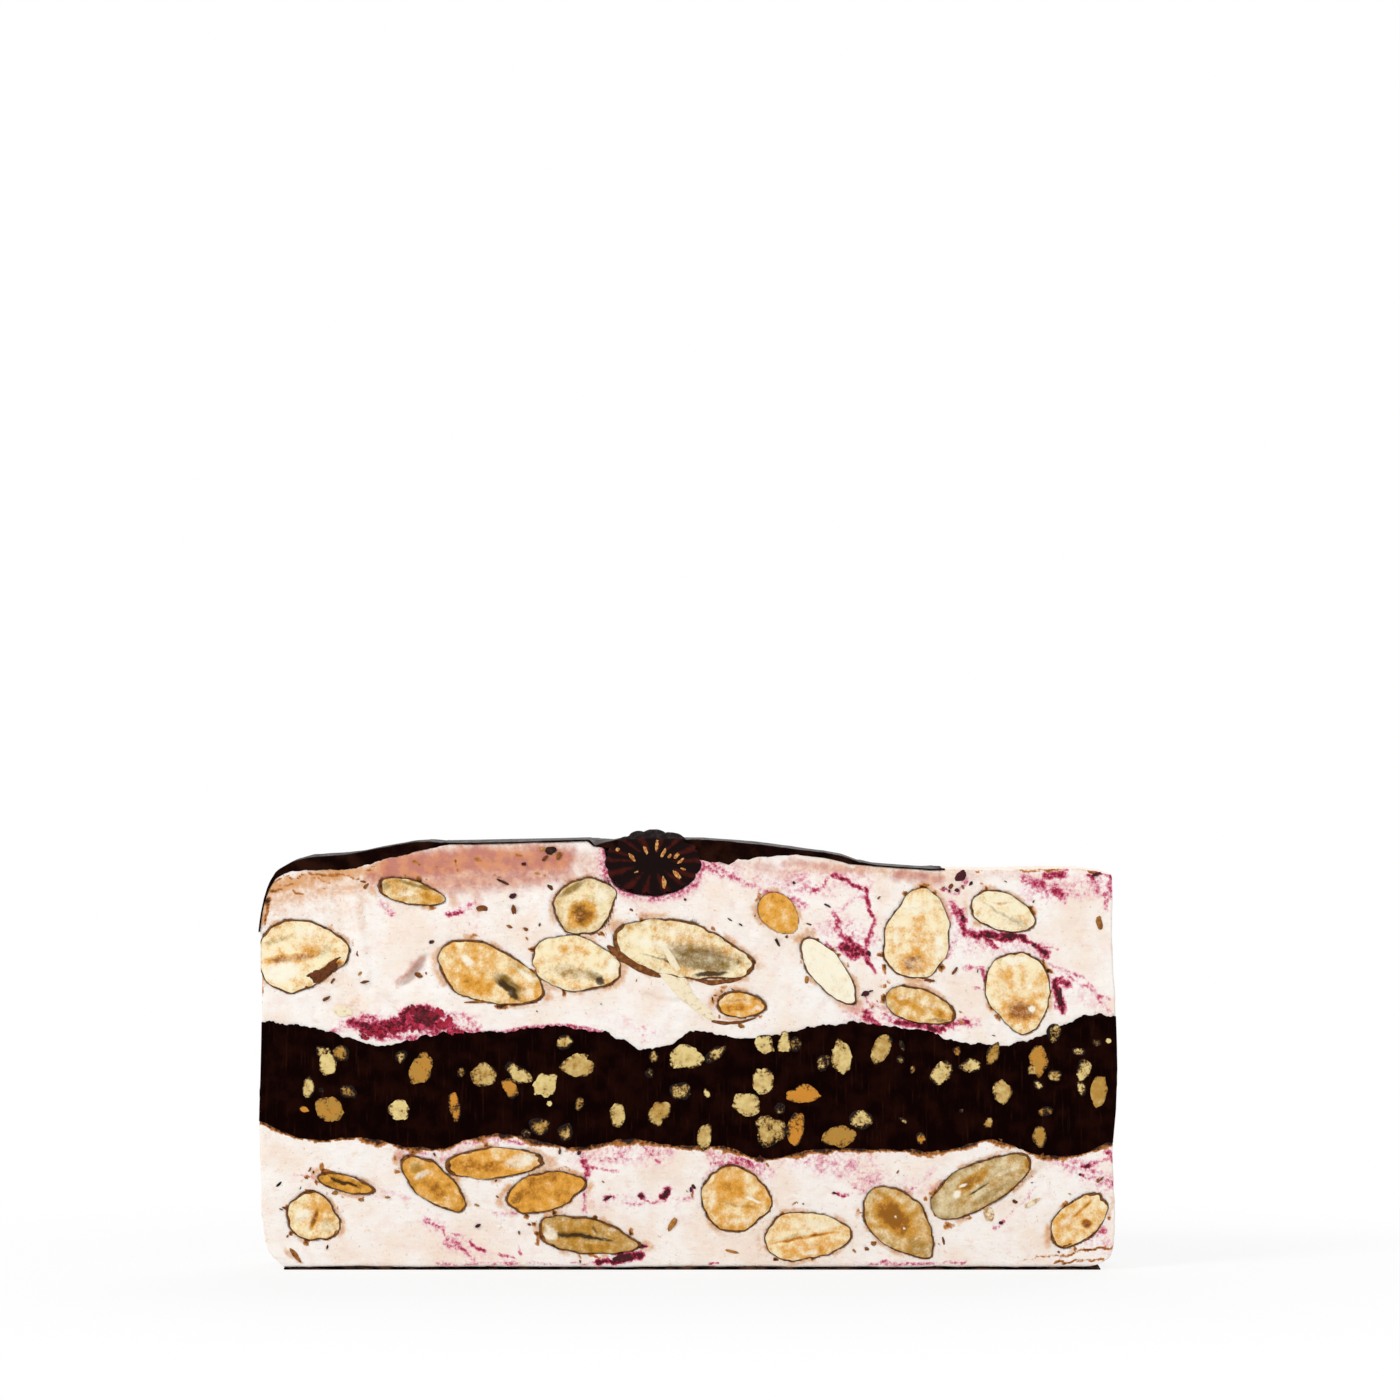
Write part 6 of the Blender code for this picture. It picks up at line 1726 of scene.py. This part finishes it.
# %% Dark berry bits, and flecks of skin and nut: x, z, length, breadth, tilt, tone from black to cream
DARK_BITS = (
    (47.6, 68.7, 2.2, 1.3, 40), (46.9, 66.2, 0.8, 0.6, 0), (45.6, 66.1, 0.45, 0.4, 0),
    (49.4, 67.4, 0.8, 0.45, 50), (31.0, 48.1, 1.2, 0.9, 20), (31.9, 48.6, 0.8, 0.3, 20),
    (18.5, 67.5, 0.5, 0.45, 0), (24.4, 63.5, 1.2, 0.35, -25), (-0.5, 64.6, 0.45, 0.4, 0),
    (48.0, 61.5, 0.6, 0.5, 60), (52.6, 58.2, 1.6, 0.6, -5), (56.0, 58.3, 2.0, 0.7, 5),
    (60.4, 56.7, 0.8, 0.5, 20), (62.2, 55.4, 0.9, 0.6, -20), (-30.6, 65.2, 1.2, 0.8, 25),
    (-28.6, 70.8, 0.7, 0.5, 0), (-36.6, 7.7, 0.9, 0.5, 30), (-11.4, 2.0, 3.0, 1.1, 8),
    (-8.0, 4.1, 0.9, 0.35, 10), (25.6, 13.4, 0.8, 0.35, -20), (54.6, 8.2, 0.6, 0.5, 0),
    (69.6, 18.1, 0.8, 0.45, 20), (68.4, 16.6, 0.5, 0.4, 0), (-3.8, 13.4, 1.5, 0.8, 70),
    (-8.2, 12.9, 0.9, 0.55, 0), (-14.0, 12.5, 1.6, 0.45, 25), (0.5, 14.0, 0.35, 0.8, 0),
    (71.2, 69.0, 1.5, 0.5, 25), (31.6, 55.2, 1.0, 0.5, -60), (64.9, 47.6, 0.8, 2.6, -6),
    (-19.0, 20.4, 0.8, 0.5, 60), (12.8, 19.4, 0.5, 1.2, 20),
)
FLECKS = (
    (-56.4, 50.2, 1.2, 0.45, 10, 0.3), (-63.1, 47.3, 1.3, 0.5, 30, 0.3),
    (-66.6, 49.4, 1.0, 0.4, -30, 0.2), (-62.0, 50.4, 1.2, 0.45, 50, 0.35),
    (-32.3, 67.7, 2.4, 0.4, -25, 0.15), (-35.8, 63.0, 1.8, 0.9, 0, 0.4),
    (-30.4, 62.8, 0.7, 1.4, 10, 0.35), (-31.2, 59.9, 1.0, 0.5, -20, 0.45),
    (-28.3, 59.4, 0.8, 0.5, -30, 0.45), (-23.9, 73.1, 1.6, 1.2, 0, 0.05),
    (-22.6, 72.2, 1.4, 0.8, 60, 0.5), (-25.4, 73.4, 0.9, 0.7, 0, 0.7), (-24.9, 71.8, 1.2, 0.6, 40, 0.35),
    (15.6, 57.1, 1.5, 0.5, -65, 0.1), (9.2, 60.2, 0.7, 0.3, -30, 0.05), (7.3, 61.1, 0.9, 0.25, -30, 0.2),
    (71.8, 60.6, 2.1, 1.0, 105, 0.5), (-2.7, 7.9, 2.4, 1.0, 60, 0.62), (52.4, 9.9, 2.6, 1.6, 105, 0.86),
    (-60.2, 45.1, 3.2, 1.8, -15, 0.98), (-36.0, 46.8, 5.0, 0.5, 3, 0.55),
    (-47.0, 51.4, 1.2, 0.8, -20, 0.45), (-68.6, 2.6, 2.6, 0.8, -50, 0.5),
    (-57.0, 12.2, 0.9, 0.5, 0, 0.5), (-61.4, 6.5, 0.6, 0.9, 0, 0.55), (33.4, 6.4, 0.5, 1.6, 20, 0.4),
    (32.4, 4.6, 1.0, 0.7, 0, 0.5), (31.2, 3.6, 0.8, 0.6, 0, 0.45), (44.6, 5.0, 0.4, 1.3, 10, 0.35),
    (46.6, 52.2, 1.4, 0.5, 50, 0.4), (41.6, 50.6, 2.6, 0.5, -8, 0.35), (7.6, 3.2, 2.2, 0.5, -12, 0.6),
    (-71.4, 14.9, 1.0, 0.4, 40, 0.1), (-69.8, 10.6, 1.6, 0.5, -20, 0.35),
    (60.2, 11.8, 3.0, 0.7, 30, 0.9), (66.6, 4.6, 2.4, 0.5, 25, 0.2),
)
RANDOM_FLECKS = 90
BIT_SETBACK, FLECK_SETBACK = 0.12, 0.2
DARK_TONE = -0.2
bodies = []
for seed, (x, z, length, breadth, tilt) in enumerate(DARK_BITS, 700):
    bodies.append(front_crumb(seed, x, z, BIT_SETBACK, tilt, (length, breadth), DARK_TONE))
add_joined("dark_berry_bits", bodies, raspberry, "berry")

bodies = []
fronts = [almond for almond in almonds.values() if almond["facing"] < 0]
strewn = []
for number in range(RANDOM_FLECKS):
    near = fronts[number % len(fronts)]
    way = draw.uniform(0, 2 * math.pi)
    away = draw.uniform(1.12, 1.5)
    u, v = near["long"] * away * math.cos(way), near["broad"] * (away + 0.1) * math.sin(way)
    x = near["x"] + u * near["axis"][0] - v * near["axis"][1]
    z = near["z"] + u * near["axis"][1] + v * near["axis"][0]
    inside = min(oval_share(almond, x, z)[0] for almond in fronts) < 1.08
    low, high = chocolate_band(x, LOW[1])
    in_band = low - 0.8 < z < high + 0.8
    if not inside and not in_band and 1.2 < z < 68 and abs(x) < 72.5:
        length = draw.uniform(0.3, 1.1)
        breadth = length * draw.uniform(0.3, 0.7)
        tilt, tone = draw.uniform(-90, 90), draw.uniform(0.1, 0.7)
        strewn.append((x, z, length, breadth, tilt, tone))
for seed, (x, z, length, breadth, tilt, tone) in enumerate((*FLECKS, *strewn), 800):
    bodies.append(front_crumb(seed, x, z, FLECK_SETBACK, tilt, (length, breadth), tone))
add_joined("skin_and_nut_flecks", bodies, flake, "almond")


# %% Curls and flaps
CURL_Y = LOW[1] + 0.35


def ribbon(path, thickness, tone, seed):
    """A flat ribbon along a path of x, z and width: each ring is an oval, wide in the cut's plane, that
    turns with the path and whose edges waver."""
    x, z, widths = np.array(path, float).T
    path = flat_points(x, z, CURL_Y)
    steps = np.linspace(0, len(path) - 1, 90)
    stations = np.arange(len(path))
    middle = np.column_stack([np.interp(steps, stations, path[:, i]) for i in range(3)])
    kernel = np.ones(9) / 9
    padded = [np.pad(line, 4, mode="edge") for line in middle.T]
    middle = np.column_stack([np.convolve(line, kernel, "valid") for line in padded])
    way = np.gradient(middle[:, [0, 2]], axis=0)
    way = way / np.linalg.norm(way, axis=1)[:, None]
    across = np.column_stack((-way[:, 1], 0 * steps, way[:, 0]))
    tips = np.sqrt(np.clip(1 - (2 * steps / steps[-1] - 1) ** 8, 0.02, 1))
    wide = np.interp(steps, stations, widths) / 2 * tips
    angle = np.linspace(0, 2 * math.pi, 20, endpoint=False)
    flat = np.column_stack((steps * 0.6, 0 * steps, 0 * steps + seed))
    wide = wide * (1 + 0.18 * rough(flat, 2.0, 3, 181))
    bend = 0.12 * hills(flat, 1.7, 183)
    outward_way = np.array((0.0, -1.0, 0.0))
    side = np.cos(angle)[None, :, None] * wide[:, None, None] * across[:, None, :]
    lift = np.sin(angle)[None, :] * thickness / 2 + bend[:, None] * np.cos(angle)[None, :]
    points, faces = closed_stack(middle[:, None, :] + side + lift[..., None] * outward_way)
    colours = np.zeros((len(points), 4))
    colours[:, 0] = tone
    return points, outward(points, faces), colours


# Each path as x, z, width at its stations.
CREAM, SKIN_TONE = 1.15, 0.4
curls = (
    ribbon(((-7.9, 55.6, 0.5), (-4.6, 52.2, 1.8), (-1.2, 48.8, 2.4), (2.2, 45.6, 1.7), (4.8, 43.6, 1.2)),
           0.36, CREAM, 1),
    ribbon(((-5.0, 57.8, 0.5), (-3.0, 54.4, 1.2), (-1.0, 50.8, 1.1), (1.0, 47.0, 0.9)), 0.34, CREAM, 2),
)
flaps = (
    ribbon(((-14.2, 56.6, 0.9), (-11.6, 54.6, 1.5), (-8.4, 52.8, 1.6), (-4.6, 51.0, 0.8)), 0.4, SKIN_TONE, 3),
    ribbon(((1.2, 50.7, 0.5), (4.0, 50.0, 0.9), (7.0, 50.2, 0.9), (9.6, 51.0, 0.5)), 0.34, SKIN_TONE, 4),
    ribbon(((-68.4, 50.4, 0.8), (-65.4, 51.0, 2.2), (-62.6, 52.6, 2.0), (-60.4, 54.6, 0.8)), 0.4, 0.26, 5),
    ribbon(((4.0, 43.4, 0.5), (6.4, 43.0, 0.7), (9.4, 43.2, 0.5), (12.0, 44.0, 0.3)), 0.3, SKIN_TONE, 6),
)
add_joined("nougat_curls", curls, flake, "nougat")
add_joined("almond_skin_flaps", flaps, flake, "almond")
